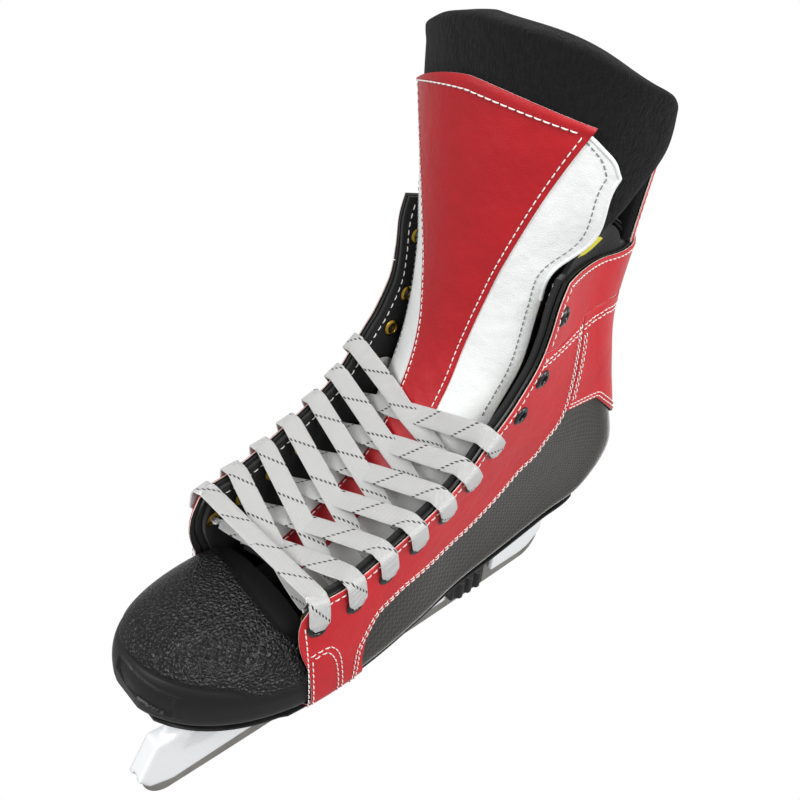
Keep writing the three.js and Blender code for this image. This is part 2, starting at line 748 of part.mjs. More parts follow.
// The knots of one crossing, from the inside of row i on one side to the edge of row i + 1 opposite.
function crossing(from, to, sign) {
  const start = from.p.clone().addScaledVector(from.n, UNDER - 3.4);
  const goal = entering(to)[0].p;
  if (sign < 0) start.y = -start.y;
  if (sign > 0) goal.y = -goal.y;
  const knots = [];
  for (const t of [0.08, 0.26, 0.44, 0.6, 0.76, 0.9]) {
    const p = start.clone().lerp(goal, t);
    const { p: q, n } = lifted(p);
    const face = n.clone().lerp(edgeAt(to.u).up, 0.5).normalize();
    face.y = 0;
    knots.push(knot(q, face.normalize(), lerp(LACE_WIDTH * 0.6, LACE_WIDTH, smooth(t * 3))));
  }
  return knots;
}

function ribbon(knots, steps) {
  const rows = knots.map(({ p, n, w, h }) => [...p.toArray(), ...n.toArray(), w, h]);
  const rings = [];
  const count = (knots.length - 1) * steps;
  for (let i = 0; i <= count; i++) {
    const k = (i / count) * (knots.length - 1);
    const here = between(rows, k);
    const e = 0.02;
    const ahead = between(rows, k + e);
    const behind = between(rows, k - e);
    const along = vec(ahead[0] - behind[0], ahead[1] - behind[1], ahead[2] - behind[2]).normalize();
    const face = vec(here[3], here[4], here[5]);
    const across = along.clone().cross(face).normalize().multiplyScalar(here[6] / 2);
    const thick = across.clone().normalize().cross(along).multiplyScalar(here[7] / 2);
    const p = vec(here[0], here[1], here[2]);
    rings.push([
      p.clone().add(across).add(thick),
      p.clone().sub(across).add(thick),
      p.clone().sub(across).sub(thick),
      p.clone().add(across).sub(thick),
    ]);
  }
  return loft(rings);
}

// One half of the lace runs from the middle of the first bar up to its last eyelet, changing sides;
// the other half is its mirror image. Each piece overlaps the next inside a bore.
function laceHalf(sign) {
  const flip = (k) => ({ ...k, p: mirrored(k.p), n: mirrored(k.n) });
  const turn = (list, s) => (s < 0 ? list.map(flip) : list);
  const first = entering(rows[0]);
  const middle = first[0].p.clone();
  middle.y = 0;
  middle.z -= 1;
  const quarterWay = first[0].p.clone().lerp(middle, 0.5);
  const bar = [knot(middle, first[0].n), knot(quarterWay, first[0].n), ...first];
  const parts = [ribbon(turn(bar, sign), 1)];
  let s = sign;
  for (let i = 0; i + 1 < LACED; i++) {
    const bore = turn(entering(rows[i]).slice(-1), s);
    bore[0].p.addScaledVector(turn([knot(rows[i].p, rows[i].n)], s)[0].n, 1);
    const over = turn(entering(rows[i + 1]), -s);
    parts.push(ribbon([...bore, ...crossing(rows[i], rows[i + 1], s), ...over], 1));
    s = -s;
  }
  return parts.map(solidOf);
}

const laceFinish = material(0xe6e8e6, 0.9);
const laceParts = [...laceHalf(1), ...laceHalf(-1)];
add("lace", laceParts.reduce((whole, part) => whole.add(part)), laceFinish);

// Each end of the lace hangs from its last eyelet down inside the boot, and ends in a tip.
const TAIL = [[113, 166], [108, 157], [102, 146], [97, 135], [92, 124], [88, 113]];
const TIP_LENGTH = 14;
const tailStart = rows[LACED - 1].p.clone().addScaledVector(rows[LACED - 1].n, UNDER - LACE_THICK);
const tailKnots = [
  knot(tailStart, vec(0, 1, 0), LACE_PINCH),
  ...TAIL.map(([x, z]) => {
    const { p, n } = wall(...locate(x * LENGTH_FACTOR, z));
    return knot(p.addScaledVector(n, LINER_BOTTOM - LACE_THICK), n, LACE_WIDTH * 0.8);
  }),
];
addPair("lace_tail", ribbon(tailKnots, 2), laceFinish);
const tailEnd = tailKnots[tailKnots.length - 1].p;
const tailWay = tailEnd.clone().sub(tailKnots[tailKnots.length - 2].p).normalize();
const tipStart = tailEnd.clone().addScaledVector(tailWay, GAP);
tipStart.y -= 1;
addPair("lace_tip", rod(1.6, tipStart, tailWay, TIP_LENGTH, 8), material(0xdde0e0, 0.3));

// Blade holder: two towers joined by a rail that carries the steel.
const RUNNER_REAR = 5;
const RUNNER_FRONT = RUNNER_REAR + RUNNER_LENGTH;
const RUNNER_MIDDLE = (RUNNER_REAR + RUNNER_FRONT) / 2;
const underSole = (x) => soleHeight(x) - OUTSOLE - 2 * GAP;
const RAIL_TOP = HOLDER_LOW + 22;

const rail = sideExtrude(
  [
    [RUNNER_REAR + 12, HOLDER_LOW + 2],
    [RUNNER_REAR + 20, HOLDER_LOW],
    [RUNNER_FRONT - 14, HOLDER_LOW],
    [RUNNER_FRONT - 2, HOLDER_LOW + 5],
    [RUNNER_FRONT + 3, RUNNER_HEIGHT],
    [RUNNER_FRONT - 8, RAIL_TOP + 10],
    [RUNNER_FRONT - 60, RAIL_TOP + 2],
    [RUNNER_MIDDLE + 15, RAIL_TOP - 1],
    [RUNNER_MIDDLE - 40, RAIL_TOP + 1],
    [RUNNER_REAR + 30, RAIL_TOP + 4],
    [RUNNER_REAR + 2, RAIL_TOP - 2],
    [RUNNER_REAR + 2, HOLDER_LOW + 10],
  ],
  HOLDER_RAIL,
);

// A tower narrows from its mounting flange to the rail. Rings: x from, x to, half width, height.
function tower(levels) {
  const count = 6;
  const rings = levels.map(([x0, x1, w, z0, z1]) => {
    const ring = [];
    for (const [side, order] of [[1, 1], [-1, -1]])
      for (let k = 0; k <= count; k++) {
        const t = order > 0 ? k / count : 1 - k / count;
        const round = (1 - Math.abs(2 * t - 1) ** 3.2) ** 0.5;
        ring.push(vec(lerp(x0, x1, t), side * Math.max(w * round, 1), lerp(z0, z1, t)));
      }
    return ring;
  });
  return loft(rings);
}

const UNDER_SOLE = -OUTSOLE - 2 * GAP;
// The mounting flange of a tower: a plate with round ends that follows the sole.
function flangePlate([x0, x1, half]) {
  const shape = new THREE.Shape();
  shape.absarc(x0 + half, 0, half, Math.PI / 2, (3 * Math.PI) / 2, false);
  shape.absarc(x1 - half, 0, half, -Math.PI / 2, Math.PI / 2, false);
  const blank = new THREE.ExtrudeGeometry(shape, { depth: 60, curveSegments: 5, bevelEnabled: false });
  blank.translate(0, 0, 40);
  const course = soleCourse(x0 - 5, x1 + 5, half + 5, UNDER_SOLE - HOLDER_FLANGE, UNDER_SOLE);
  return solidOf(blank).intersect(course);
}

function towerLevels([x0, x1, w], foot0, foot1) {
  const [s0, s1] = [underSole(x0), underSole(x1)];
  return [
    [foot0, foot1, HOLDER_RAIL / 2 + 0.2, RAIL_TOP - 8, RAIL_TOP - 6],
    [lerp(foot0, x0, 0.35), lerp(foot1, x1, 0.5), HOLDER_RAIL / 2 + 3, RAIL_TOP + 4, RAIL_TOP + 6],
    [x0 + 4, x1 - 4, w * 0.55, s0 - HOLDER_FLANGE - 6, s1 - HOLDER_FLANGE - 6],
    [x0 + 2, x1 - 2, w * 0.75, s0 - HOLDER_FLANGE, s1 - HOLDER_FLANGE],
    [x0 + 2, x1 - 2, w * 0.75, s0 - 0.5, s1 - 0.5],
  ];
}
const FRONT_TOWER = [176 * LENGTH_FACTOR, 268 * LENGTH_FACTOR, 30 * WIDTH_FACTOR];
const REAR_TOWER = [2 * LENGTH_FACTOR, 96 * LENGTH_FACTOR, 25 * WIDTH_FACTOR];
const frontLevels = towerLevels(FRONT_TOWER, 196 * LENGTH_FACTOR, RUNNER_FRONT - 5);
const rearLevels = towerLevels(REAR_TOWER, RUNNER_REAR + 5, 88 * LENGTH_FACTOR);

// Trigger window, just in front of the rear tower's foot.
const WINDOW = { x0: 50, x1: 50 + TRIGGER_LENGTH + TRIGGER_TRAVEL + 7, z: HOLDER_LOW + 17.5 };
const slot = RUNNER_THICK / 2 + GAP;
const SLOT_TOP = RUNNER_HEIGHT + 1;
function pocket(x0, x1, z0, z1, side) {
  return box(x0, x1, side > 0 ? 4 : -40, side > 0 ? 40 : -4, z0, z1);
}

const rivetPlaces = [
  [256, 12],
  [256, -15],
  [222, 20],
  [222, -20],
  [188, 20],
  [188, -20],
  [84, 17],
  [84, -17],
  [36, 12],
  [36, -12],
].map(([x, y]) => [x * LENGTH_FACTOR, y * WIDTH_FACTOR]);

function holder() {
  let solid = solidOf(rail).add(solidOf(tower(frontLevels))).add(solidOf(tower(rearLevels)));
  solid = solid.subtract(soleCourse(-20, TOE_TIP, 60, UNDER_SOLE, UNDER_SOLE + 30));
  solid = solid.add(flangePlate(FRONT_TOWER)).add(flangePlate(REAR_TOWER));
  const cuts = [
    box(RUNNER_REAR - 20, RUNNER_FRONT + 20, -slot, slot, -5, SLOT_TOP),
    box(WINDOW.x0, WINDOW.x1, -30, 30, 0, WINDOW.z),
    pocket(22, 46, RAIL_TOP + 9, underSole(34) - HOLDER_FLANGE - 4, 1),
    pocket(22, 46, RAIL_TOP + 9, underSole(34) - HOLDER_FLANGE - 4, -1),
    pocket(54, 78, RAIL_TOP + 9, underSole(66) - HOLDER_FLANGE - 4, 1),
    pocket(54, 78, RAIL_TOP + 9, underSole(66) - HOLDER_FLANGE - 4, -1),
  ];
  for (const cut of cuts) solid = solid.subtract(solidOf(cut));
  const pinHole = rod(TRIGGER_PIN + GAP, vec(PIN_X, -20, PIN_Z), vec(0, 1, 0), 40);
  solid = solid.subtract(solidOf(pinHole));
  for (const [x, y] of rivetPlaces) {
    solid = solid.subtract(solidOf(rivetHole(x, y))).subtract(solidOf(counterbore(x, y)));
  }
  return solid;
}
const UP = vec(0, 0, 1);
const rivetHole = (x, y) => rod(RIVET + GAP, vec(x, y, underSole(x) - 12), UP, 30, 8);
const counterbore = (x, y) => {
  const depth = 16;
  return rod(RIVET_HEAD + 0.4, vec(x, y, underSole(x) - HOLDER_FLANGE - depth), UP, depth, 8);
};

const PIN_X = WINDOW.x0 + TRIGGER_TRAVEL + 7 + 13;
const PIN_Z = WINDOW.z + 2.4;
const holderSolid = holder();
add("blade_holder", holderSolid, material(0xeef0f2, 0.25));

let outsoleSolid = solidOf(outsole);
let boardSolid = solidOf(board);
for (const [x, y] of rivetPlaces) {
  outsoleSolid = outsoleSolid.subtract(solidOf(rivetHole(x, y)));
  boardSolid = boardSolid.subtract(solidOf(rivetHole(x, y)));
}
add("outsole", outsoleSolid, material(0x1d1d1f, 0.6));
add("lasting_board", boardSolid, material(0x8a7a60, 0.9));
add("footbed", footbed, material(0x2a2a2c, 0.95));

// Steel runner: rounded toe and heel, a rocker with a short flat at its middle.
function runnerOutline() {
  const low = (x) => Math.max(0, Math.abs(x - RUNNER_MIDDLE) - RUNNER_FLAT / 2) ** 2 / (2 * ROCKER);
  const points = [];
  const [a, b] = [RUNNER_REAR + 14, RUNNER_FRONT - 14];
  for (let i = 0; i <= 10; i++) {
    const x = lerp(a, RUNNER_MIDDLE - RUNNER_FLAT / 2, i / 10);
    points.push([x, low(x)]);
  }
  for (let i = 0; i <= 10; i++) {
    const x = lerp(RUNNER_MIDDLE + RUNNER_FLAT / 2, b, i / 10);
    points.push([x, low(x)]);
  }
  for (let i = 1; i <= 6; i++) {
    const t = (i / 6) * (Math.PI / 2);
    points.push([b + (RUNNER_FRONT - b) * Math.sin(t), low(b) + (RUNNER_HEIGHT - 6) * (1 - Math.cos(t))]);
  }
  points.push([RUNNER_FRONT - 2, RUNNER_HEIGHT], [RUNNER_REAR + 4, RUNNER_HEIGHT]);
  for (let i = 6; i >= 1; i--) {
    const t = (i / 6) * (Math.PI / 2);
    points.push([a - (a - RUNNER_REAR) * Math.sin(t), low(a) + (RUNNER_HEIGHT - 10) * (1 - Math.cos(t))]);
  }
  return points;
}
add("runner", sideExtrude(runnerOutline(), RUNNER_THICK), material(0xb4ada2, 0.35, 0.9));

// Trigger: two cheeks astride the steel, joined above it, with finger ridges.
function trigger() {
  const x1 = WINDOW.x1 - GAP;
  const x0 = x1 - TRIGGER_LENGTH;
  const half = HOLDER_RAIL / 2 + 3.4;
  let solid = solidOf(box(x0, x1, -half, half, HOLDER_LOW + 2, WINDOW.z - GAP));
  for (let k = 0; k < 3; k++)
    for (const side of [1, -1]) {
      const x = x0 + 6 + k * 7;
      const ridge = rod(2.6, vec(x, side * half, HOLDER_LOW + 3), vec(0, 0, 1), WINDOW.z - HOLDER_LOW - 5);
      solid = solid.add(solidOf(ridge));
    }
  const straddle = RUNNER_THICK / 2 + 0.7;
  return solid.subtract(solidOf(box(x0 - 5, x1 + 5, -straddle, straddle, 0, SLOT_TOP)));
}
add("release_trigger", trigger(), material(0x1b1b1b, 0.5));
const pinLength = HOLDER_RAIL + 4;
add(
  "trigger_pin",
  rod(TRIGGER_PIN, vec(PIN_X, -pinLength / 2, PIN_Z), vec(0, 1, 0), pinLength),
  material(0x9a9a9c, 0.3, 0.9),
);

// Return spring between the window's rear wall and the trigger.
class Helix extends THREE.Curve {
  constructor(from, length, radius, turns) {
    super();
    Object.assign(this, { from, length, radius, turns });
  }
  getPoint(t, target = vec(0, 0, 0)) {
    const a = t * this.turns * Math.PI * 2;
    const { from, radius } = this;
    return target.set(from.x + t * this.length, from.y + radius * Math.cos(a), from.z + radius * Math.sin(a));
  }
}
const SPRING_WIRE = 0.4;
const springX0 = WINDOW.x0 + SPRING_WIRE + GAP;
const springX1 = WINDOW.x1 - GAP - TRIGGER_LENGTH - SPRING_WIRE - GAP;
const springZ = (SLOT_TOP + WINDOW.z) / 2;
const wire = new THREE.Shape();
wire.absarc(0, 0, SPRING_WIRE, 0, Math.PI * 2, false);
const spring = new THREE.ExtrudeGeometry(wire, {
  steps: 26,
  curveSegments: 3,
  bevelEnabled: false,
  extrudePath: new Helix(vec(springX0, 0, springZ), springX1 - springX0, 1.1, 4),
});
add("trigger_spring", spring, material(0xa8a8aa, 0.3, 0.9));

// Rivets: heads under the flange, shanks through the flange, outsole and lasting board.
function rivet(x, y) {
  const low = underSole(x) - HOLDER_FLANGE - GAP - RIVET_HEAD_THICK;
  const length = soleHeight(x) + BOARD_TOP - GAP - low;
  const profile = [
    [0, 0],
    [RIVET_HEAD, 0.4],
    [RIVET_HEAD, RIVET_HEAD_THICK],
    [RIVET, RIVET_HEAD_THICK],
    [RIVET, length],
    [0, length],
  ];
  return turned(profile, vec(x, y, low), UP, 8);
}
const rivetFinish = material(0xa9794f, 0.35, 0.9);
rivetPlaces.forEach(([x, y], i) => add(`rivet_${i + 1}`, rivet(x, y), rivetFinish));

// The part's origin lies on top of the footbed, under the middle of the foot.
root.position.set(-ORIGIN.x, -ORIGIN.y, -ORIGIN.z);
const part = new THREE.Group();
part.add(root);
export default part;
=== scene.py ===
# Looks of the ice hockey skate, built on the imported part. Lengths in this file are millimetres in the
# boot's own frame (x = 0 at the heel, z = 0 at the ice), and mesh() turns them into the row frame.
import math

import bpy
import numpy as np
from mathutils import Matrix, Vector


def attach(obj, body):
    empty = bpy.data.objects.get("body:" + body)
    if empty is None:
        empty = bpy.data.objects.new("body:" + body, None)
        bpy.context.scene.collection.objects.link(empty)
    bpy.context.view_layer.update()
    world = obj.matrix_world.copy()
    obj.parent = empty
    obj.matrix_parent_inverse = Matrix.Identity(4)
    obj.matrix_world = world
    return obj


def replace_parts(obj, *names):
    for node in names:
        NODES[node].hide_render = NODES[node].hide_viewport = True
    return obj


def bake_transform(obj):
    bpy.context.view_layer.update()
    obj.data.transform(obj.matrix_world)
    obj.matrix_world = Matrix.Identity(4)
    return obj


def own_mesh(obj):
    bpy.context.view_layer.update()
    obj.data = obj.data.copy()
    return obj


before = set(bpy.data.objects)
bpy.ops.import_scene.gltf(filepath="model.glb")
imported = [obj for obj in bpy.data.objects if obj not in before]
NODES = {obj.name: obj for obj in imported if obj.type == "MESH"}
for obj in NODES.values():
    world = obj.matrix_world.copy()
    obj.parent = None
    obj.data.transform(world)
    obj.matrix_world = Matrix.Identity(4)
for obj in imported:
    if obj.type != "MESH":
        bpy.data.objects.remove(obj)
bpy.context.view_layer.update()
scene = bpy.context.scene

# Camera.
ORIGIN = np.array([120.0, 0.0, 80.3018])


def row_frame(p):
    return (np.asarray(p, float) - ORIGIN) / 1000


camera = bpy.data.objects.new("camera", bpy.data.cameras.new("camera"))
scene.collection.objects.link(camera)
right = Vector((-0.741969, 0.665377, 0.082197))
down = Vector((0.351423, 0.490395, -0.797505))
ahead = Vector((-0.570950, -0.562838, -0.597687))
turn = Matrix((right, -down, -ahead)).transposed().to_4x4()
camera.matrix_world = Matrix.Translation(row_frame([393.308, 251.856, 445.13])) @ turn
camera.data.sensor_width = 36
camera.data.lens = 36 * 981.461 / 800
camera.data.clip_start = 0.01
camera.data.clip_end = 20
scene.camera = camera

# The boot's wall: rows of the last, and the surface through them.
CARBON, LINING, LEATHER, LAYER = 1.6, 3.0, 1.3, 0.6
LEATHER_TOP = LAYER + LEATHER
LINER_TOP = -CARBON - LAYER
LINER_BOTTOM = LINER_TOP - LINING
LAST = np.array([
    [224, 131, 231, 64, 39, 43.5, 15, 3.4],
    [213, 134, 214, 63.5, 42.5, 45, 15, 3.4],
    [200.5, 135.5, 196, 63.5, 43.5, 45, 15, 3.4],
    [183, 141.5, 172, 64, 44, 43.5, 15, 3.4],
    [166.5, 148.5, 146, 66.5, 44.5, 41, 15, 3.4],
    [150.7, 156.4, 118, 70, 45, 37.5, 15, 3.5],
    [137.7, 165.6, 84, 73, 45, 35.5, 15, 3.6],
    [126, 179.5, 44, 75, 45.5, 33, 16, 3.4],
    [119.5, 187, 12, 77.5, 46, 33, 20, 3],
    [113.4, 194.5, -11, 97, 46.2, 35.5, 38, 2.5],
    [105, 209.3, -4, 128, 47, 35.5, 44, 2.4],
    [102, 224, 6, 160, 48, 36, 46, 2.3],
    [101, 239, 13, 196, 48.8, 36, 46, 2.2],
    [98, 250, 9, 238, 49, 36.5, 46, 2.2],
])
TOP_ROW = len(LAST) - 1


def lerp(a, b, t):
    return a + (b - a) * t


def smooth(t):
    c = np.clip(t, 0, 1)
    return c * c * (3 - 2 * c)


def walked(line):
    """Distance from a line's start to each of its points."""
    return np.concatenate([[0], np.cumsum(np.linalg.norm(np.diff(line, axis=0), axis=-1))])


def rounded(line, width):
    """Values of a function of one variable, with its corners rounded over 2 x width steps."""
    kernel = np.hanning(2 * width + 3)[1:-1]
    ends = 2 * line[0] - line[width:0:-1], 2 * line[-1] - line[-2:-width - 2:-1]
    return np.convolve(np.concatenate([ends[0], line, ends[1]]), kernel / kernel.sum(), "valid")


def between(table, row):
    """Smooth curve through the rows of a table, at any fraction between them."""
    last = len(table) - 1
    r = np.clip(np.asarray(row, float), 0, last - 1e-9)
    i = np.floor(r).astype(int)
    t = (r - i)[..., None]
    p0, p1, p2, p3 = (table[np.clip(i + k, 0, last)] for k in (-1, 0, 1, 2))
    bend = 2 * p0 - 5 * p1 + 4 * p2 - p3
    return 0.5 * (2 * p1 + (p2 - p0) * t + bend * t * t + (3 * p1 - p0 - 3 * p2 + p3) * t**3)


def unit(v):
    return v / np.maximum(np.linalg.norm(v, axis=-1, keepdims=True), 1e-12)


def wall_point(u, q):
    """Row u of the last and height q (1 throat, 0 corner, -1 sole's middle line), to a point."""
    u, q = np.asarray(u, float), np.asarray(q, float)
    s = between(LAST, u)
    top, low = s[..., 0:2], s[..., 2:4]
    wt, wc, cb, n = (s[..., k] for k in (4, 5, 6, 7))
    span = np.linalg.norm(top - low, axis=-1)
    corner = low + (top - low) * (cb / span)[..., None]
    up = np.maximum(q, 0)
    h = np.sin(np.clip(-q, 0, 1) * np.pi / 2)
    xz = np.where((q >= 0)[..., None], lerp(corner, top, up[..., None]), lerp(corner, low, h[..., None]))
    y = np.where(q >= 0, wc + (wt - wc) * up**1.5, wc * np.clip(1 - h**n, 0, 1) ** (1 / n))
    return np.stack([xz[..., 0], y, xz[..., 1]], -1)


def wall(u, q):
    """Point and outward normal of the lateral wall."""
    u, q = np.broadcast_arrays(np.asarray(u, float), np.asarray(q, float))
    e = 1e-3
    du = wall_point(np.minimum(u + e, TOP_ROW), q) - wall_point(np.maximum(u - e, 0), q)
    dq = wall_point(u, np.minimum(q + e, 1)) - wall_point(u, np.maximum(q - e, -1))
    n = unit(np.cross(dq, du))
    n = np.where(n[..., 1:2] < 0, -n, n)
    p = wall_point(u, q)
    s = between(LAST, u)
    under = np.stack([s[..., 2] - s[..., 0], 0 * u, s[..., 3] - s[..., 1]], -1)
    seam = (q <= -0.999)[..., None]
    return np.where(seam, p * [1, 0, 1], p), np.where(seam, unit(under), n)


def locate(x, z):
    """Wall coordinates of the point seen at x, z from the side."""
    x, z = np.broadcast_arrays(np.asarray(x, float), np.asarray(z, float))
    low, high = np.zeros(x.shape), np.full(x.shape, float(TOP_ROW))
    for _ in range(40):
        mid = (low + high) / 2
        s = between(LAST, mid)
        left = (x - s[..., 2]) * (s[..., 1] - s[..., 3]) - (z - s[..., 3]) * (s[..., 0] - s[..., 2])
        high = np.where(left > 0, mid, high)
        low = np.where(left > 0, low, mid)
    s = between(LAST, mid)
    d = s[..., 0:2] - s[..., 2:4]
    span = np.linalg.norm(d, axis=-1)
    along = ((x - s[..., 2]) * d[..., 0] + (z - s[..., 3]) * d[..., 1]) / span
    cb = s[..., 6]
    h = np.where(along >= cb, (along - cb) / (span - cb), (along - cb) / cb)
    return mid, np.where(h >= 0, h, -np.arcsin(np.clip(-h, 0, 1)) * 2 / np.pi)


def at_rise(u, rise):
    """Height q that lies `rise` above the sole in row u."""
    cb = between(LAST, u)[..., 6]
    return -np.arcsin(np.clip(1 - rise / cb, 0, 1)) * 2 / np.pi


FRONT_Q = [-1, -0.5, 0, 0.3, 0.5, 0.68, 0.83, 0.94, 1]
FRONT_U = np.array([[0.65], [0.65], [0.62], [0.5], [0.24], [0.03], [0.03], [0.3], [0.62]])


def front_edge(q):
    """The S-shaped front edge of the facing: foremost near the top, set back at the sole."""
    return between(FRONT_U, np.interp(q, FRONT_Q, np.arange(len(FRONT_Q))))[..., 0]


def run(points, stops, soft):
    """A polyline of wall coordinates as a function of 0 to 1, its corners rounded over `soft`."""
    points, stops = np.array(points, float), np.array(stops, float)
    t = np.linspace(0, 1, 801)
    line = np.stack([np.interp(t, stops, points[:, k]) for k in (0, 1)], -1)
    line = np.stack([rounded(line[:, k], int(soft * 800)) for k in (0, 1)], -1)
    return lambda v: (np.interp(v, t, line[:, 0]), np.interp(v, t, line[:, 1]))


def strip(lower, upper, back=0.0):
    """Surface between two curves of wall coordinates; its front follows front_edge, set back by rows."""
    def surface(t, s):
        a, b = lower(t), upper(t)
        c = s**1.3
        q = lerp(a[1], b[1], c)
        u = lerp(a[0], b[0], c)
        fade = np.maximum(0, 1 - t / 0.12)
        u = lerp(u, np.maximum(front_edge(q) + back, 0), fade)
        return wall(u, q)
    return surface


# Meshes.
def mesh(name, points, faces, materials, body="boot", uv=None, index=None, crease=40, slot=None):
    data = bpy.data.meshes.new(name)
    data.from_pydata(row_frame(points).tolist(), [], [list(map(int, f)) for f in faces])
    for m in materials:
        data.materials.append(m)
    if index is not None:
        data.polygons.foreach_set("material_index", np.asarray(index, np.int32))
    if uv is not None:
        layer = data.uv_layers.new(name="UVMap")
        corner = np.zeros(len(data.loops), np.int32)
        data.loops.foreach_get("vertex_index", corner)
        layer.data.foreach_set("uv", np.asarray(uv, np.float32)[corner].ravel())
    data.update()
    data.shade_smooth()
    if crease:
        data.set_sharp_from_angle(angle=math.radians(crease))
    obj = bpy.data.objects.new(name, data)
    scene.collection.objects.link(obj)
    if body:
        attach(obj, body)
    return obj


def grid_faces(rows, columns, start=0, wrap=False):
    i, j = np.meshgrid(np.arange(rows), np.arange(columns), indexing="ij")
    stride = columns if wrap else columns + 1
    k = (j + 1) % stride
    a = start + i * stride
    return np.stack([a + j, a + stride + j, a + stride + k, a + k], -1).reshape(-1, 4)


def prism(rows, sides):
    """Faces of a closed tube of rings, with both ends shut."""
    total = (rows + 1) * sides
    return [*grid_faces(rows, sides, wrap=True).tolist(), list(range(sides)),
            list(range(total - 1, total - sides - 1, -1))]


def shell_faces(rows, columns, rear=True):
    """Faces of two grids of points joined round their rim: outer grid, inner grid, rim."""
    layer = (rows + 1) * (columns + 1)
    stride = columns + 1
    j, i = np.arange(columns), np.arange(rows)
    a, b, c = rows * stride + j, i * stride + columns, i * stride
    rims = [
        np.stack([j, j + 1, layer + j + 1, layer + j], -1),
        np.stack([a, layer + a, layer + a + 1, a + 1], -1),
        np.stack([c, layer + c, layer + c + stride, c + stride], -1),
        np.stack([b, b + stride, layer + b + stride, layer + b], -1),
    ]
    if not rear:
        del rims[1]
    return grid_faces(rows, columns), grid_faces(rows, columns, layer)[:, ::-1], np.concatenate(rims)


def arcs(p):
    """Distance walked along each grid direction, in millimetres."""
    along = np.zeros(p.shape[:2])
    across = np.zeros(p.shape[:2])
    along[1:] = np.cumsum(np.linalg.norm(np.diff(p, axis=0), axis=-1), 0)
    across[:, 1:] = np.cumsum(np.linalg.norm(np.diff(p, axis=1), axis=-1), 1)
    return along, across


def graded(count, length, edge):
    """Numbers from 0 to 1 with a few extra ones within `edge` of both ends."""
    e = min(edge / length, 0.2)
    ends = e * np.array([0, 0.08, 0.3, 0.6])
    return np.unique(np.concatenate([ends, np.linspace(e, 1 - e, count), 1 - ends]))


def slab_parts(surface, t, s, low, high, edge):
    tt, ss = np.meshgrid(t, s, indexing="ij")
    p, n = surface(tt, ss)
    along, across = arcs(p)
    near = np.minimum(np.minimum(along, along[-1] - along), np.minimum(across, across[:, -1:] - across))
    near = np.clip(near, 0, edge)
    drop = edge - np.sqrt(np.maximum(edge**2 - (edge - near) ** 2, 0))
    top = high(tt, ss) if callable(high) else high
    under = low(tt, ss) if callable(low) else low
    outer = p + n * (top - drop)[..., None]
    inner = p + n * (under + drop * 0.6)[..., None]
    return outer, inner, along, across


def slab(name, surface, count, size, low, high, materials, edge=0.5, side=1, halve=False, **kw):
    """A closed slab over a surface. Materials are for its outer face, its rim and its inner face."""
    t = graded(count[0], size[0], edge)
    s = graded(count[1], size[1], edge)
    outer, inner, along, across = slab_parts(surface, t, s, low, high, edge)
    rows, columns = len(t) - 1, len(s) - 1
    points = np.concatenate([outer.reshape(-1, 3), inner.reshape(-1, 3)])
    if halve:
        points[:, 1] = np.maximum(points[:, 1], 0.15)
    uv = np.tile(np.stack([along, across], -1).reshape(-1, 2), (2, 1)) / 1000
    layer = (rows + 1) * (columns + 1)
    top, bottom, rim = shell_faces(rows, columns)
    faces = np.concatenate([top, bottom, rim])
    index = np.concatenate([np.zeros(len(top)), np.full(len(bottom), 2), np.ones(len(rim))])
    v = points[top[:, 0]]
    e1, e2 = points[top[:, 1]] - v, points[top[:, 3]] - v
    c = v - points[top[:, 0] + layer]
    if np.sum(np.cross(e1, e2) * c) < 0:
        faces = faces[:, ::-1]
    if side < 0:
        points = points * [1, -1, 1]
        faces = faces[:, ::-1]
    return mesh(name, points, faces, materials, uv=uv, index=index, **kw)


def tube(path, radius, sides=8, normal=None):
    """Points and faces of a tube along a path; radius may vary."""
    path = np.asarray(path, float)
    ahead_ = unit(np.gradient(path, axis=0))
    ref = np.array([0, 0, 1.0]) if normal is None else normal
    side_ = unit(np.cross(ahead_, np.broadcast_to(ref, ahead_.shape)))
    up = np.cross(side_, ahead_)
    a = np.linspace(0, 2 * np.pi, sides, endpoint=False)
    r = np.broadcast_to(np.asarray(radius, float), (len(path),))[:, None, None]
    ring = side_[:, None] * np.cos(a)[None, :, None] + up[:, None] * np.sin(a)[None, :, None]
    points = (path[:, None] + ring * r).reshape(-1, 3)
    return points, prism(len(path) - 1, sides)


def join(parts):
    points, faces, start = [], [], 0
    for p, f in parts:
        points.append(p)
        faces += [[v + start for v in face] for face in f]
        start += len(p)
    return np.concatenate(points), faces


def stitch_row(points, normals, length=2.6, gap=0.9, radius=0.3):
    """Closed thread beads along a line on a surface, their ends sunk into it."""
    d = walked(points)
    count = int((d[-1] - gap) / (length + gap))
    if count < 1:
        return []
    pitch = d[-1] / count
    offsets = np.array([-0.5, -0.42, -0.2, 0.2, 0.42, 0.5]) * length
    lift = np.array([-0.25, 0.1, 0.3, 0.3, 0.1, -0.25]) * radius / 0.3
    width = np.array([0.45, 0.85, 1, 1, 0.85, 0.45]) * radius
    parts = []
    for k in range(count):
        at = np.clip((k + 0.5) * pitch + offsets, 0, d[-1])
        p = np.stack([np.interp(at, d, points[:, c]) for c in range(3)], -1)
        n = unit(np.stack([np.interp(at, d, normals[:, c]) for c in range(3)], -1))
        p = p + n * lift[:, None]
        parts.append(tube(p, width, 6, n))
    return parts


def stitches(name, rows, material, body="boot", both=True, **kw):
    parts = []
    for points, normals in rows:
        parts += stitch_row(points, normals, **kw)
        if both:
            parts += stitch_row(points * [1, -1, 1], normals * [1, -1, 1], **kw)
    points, faces = join(parts)
    return mesh(name, points, faces, [material], body=body, crease=0)


def wall_line(u, q, out):
    p, n = wall(np.asarray(u, float), np.asarray(q, float))
    return p + n * out, n


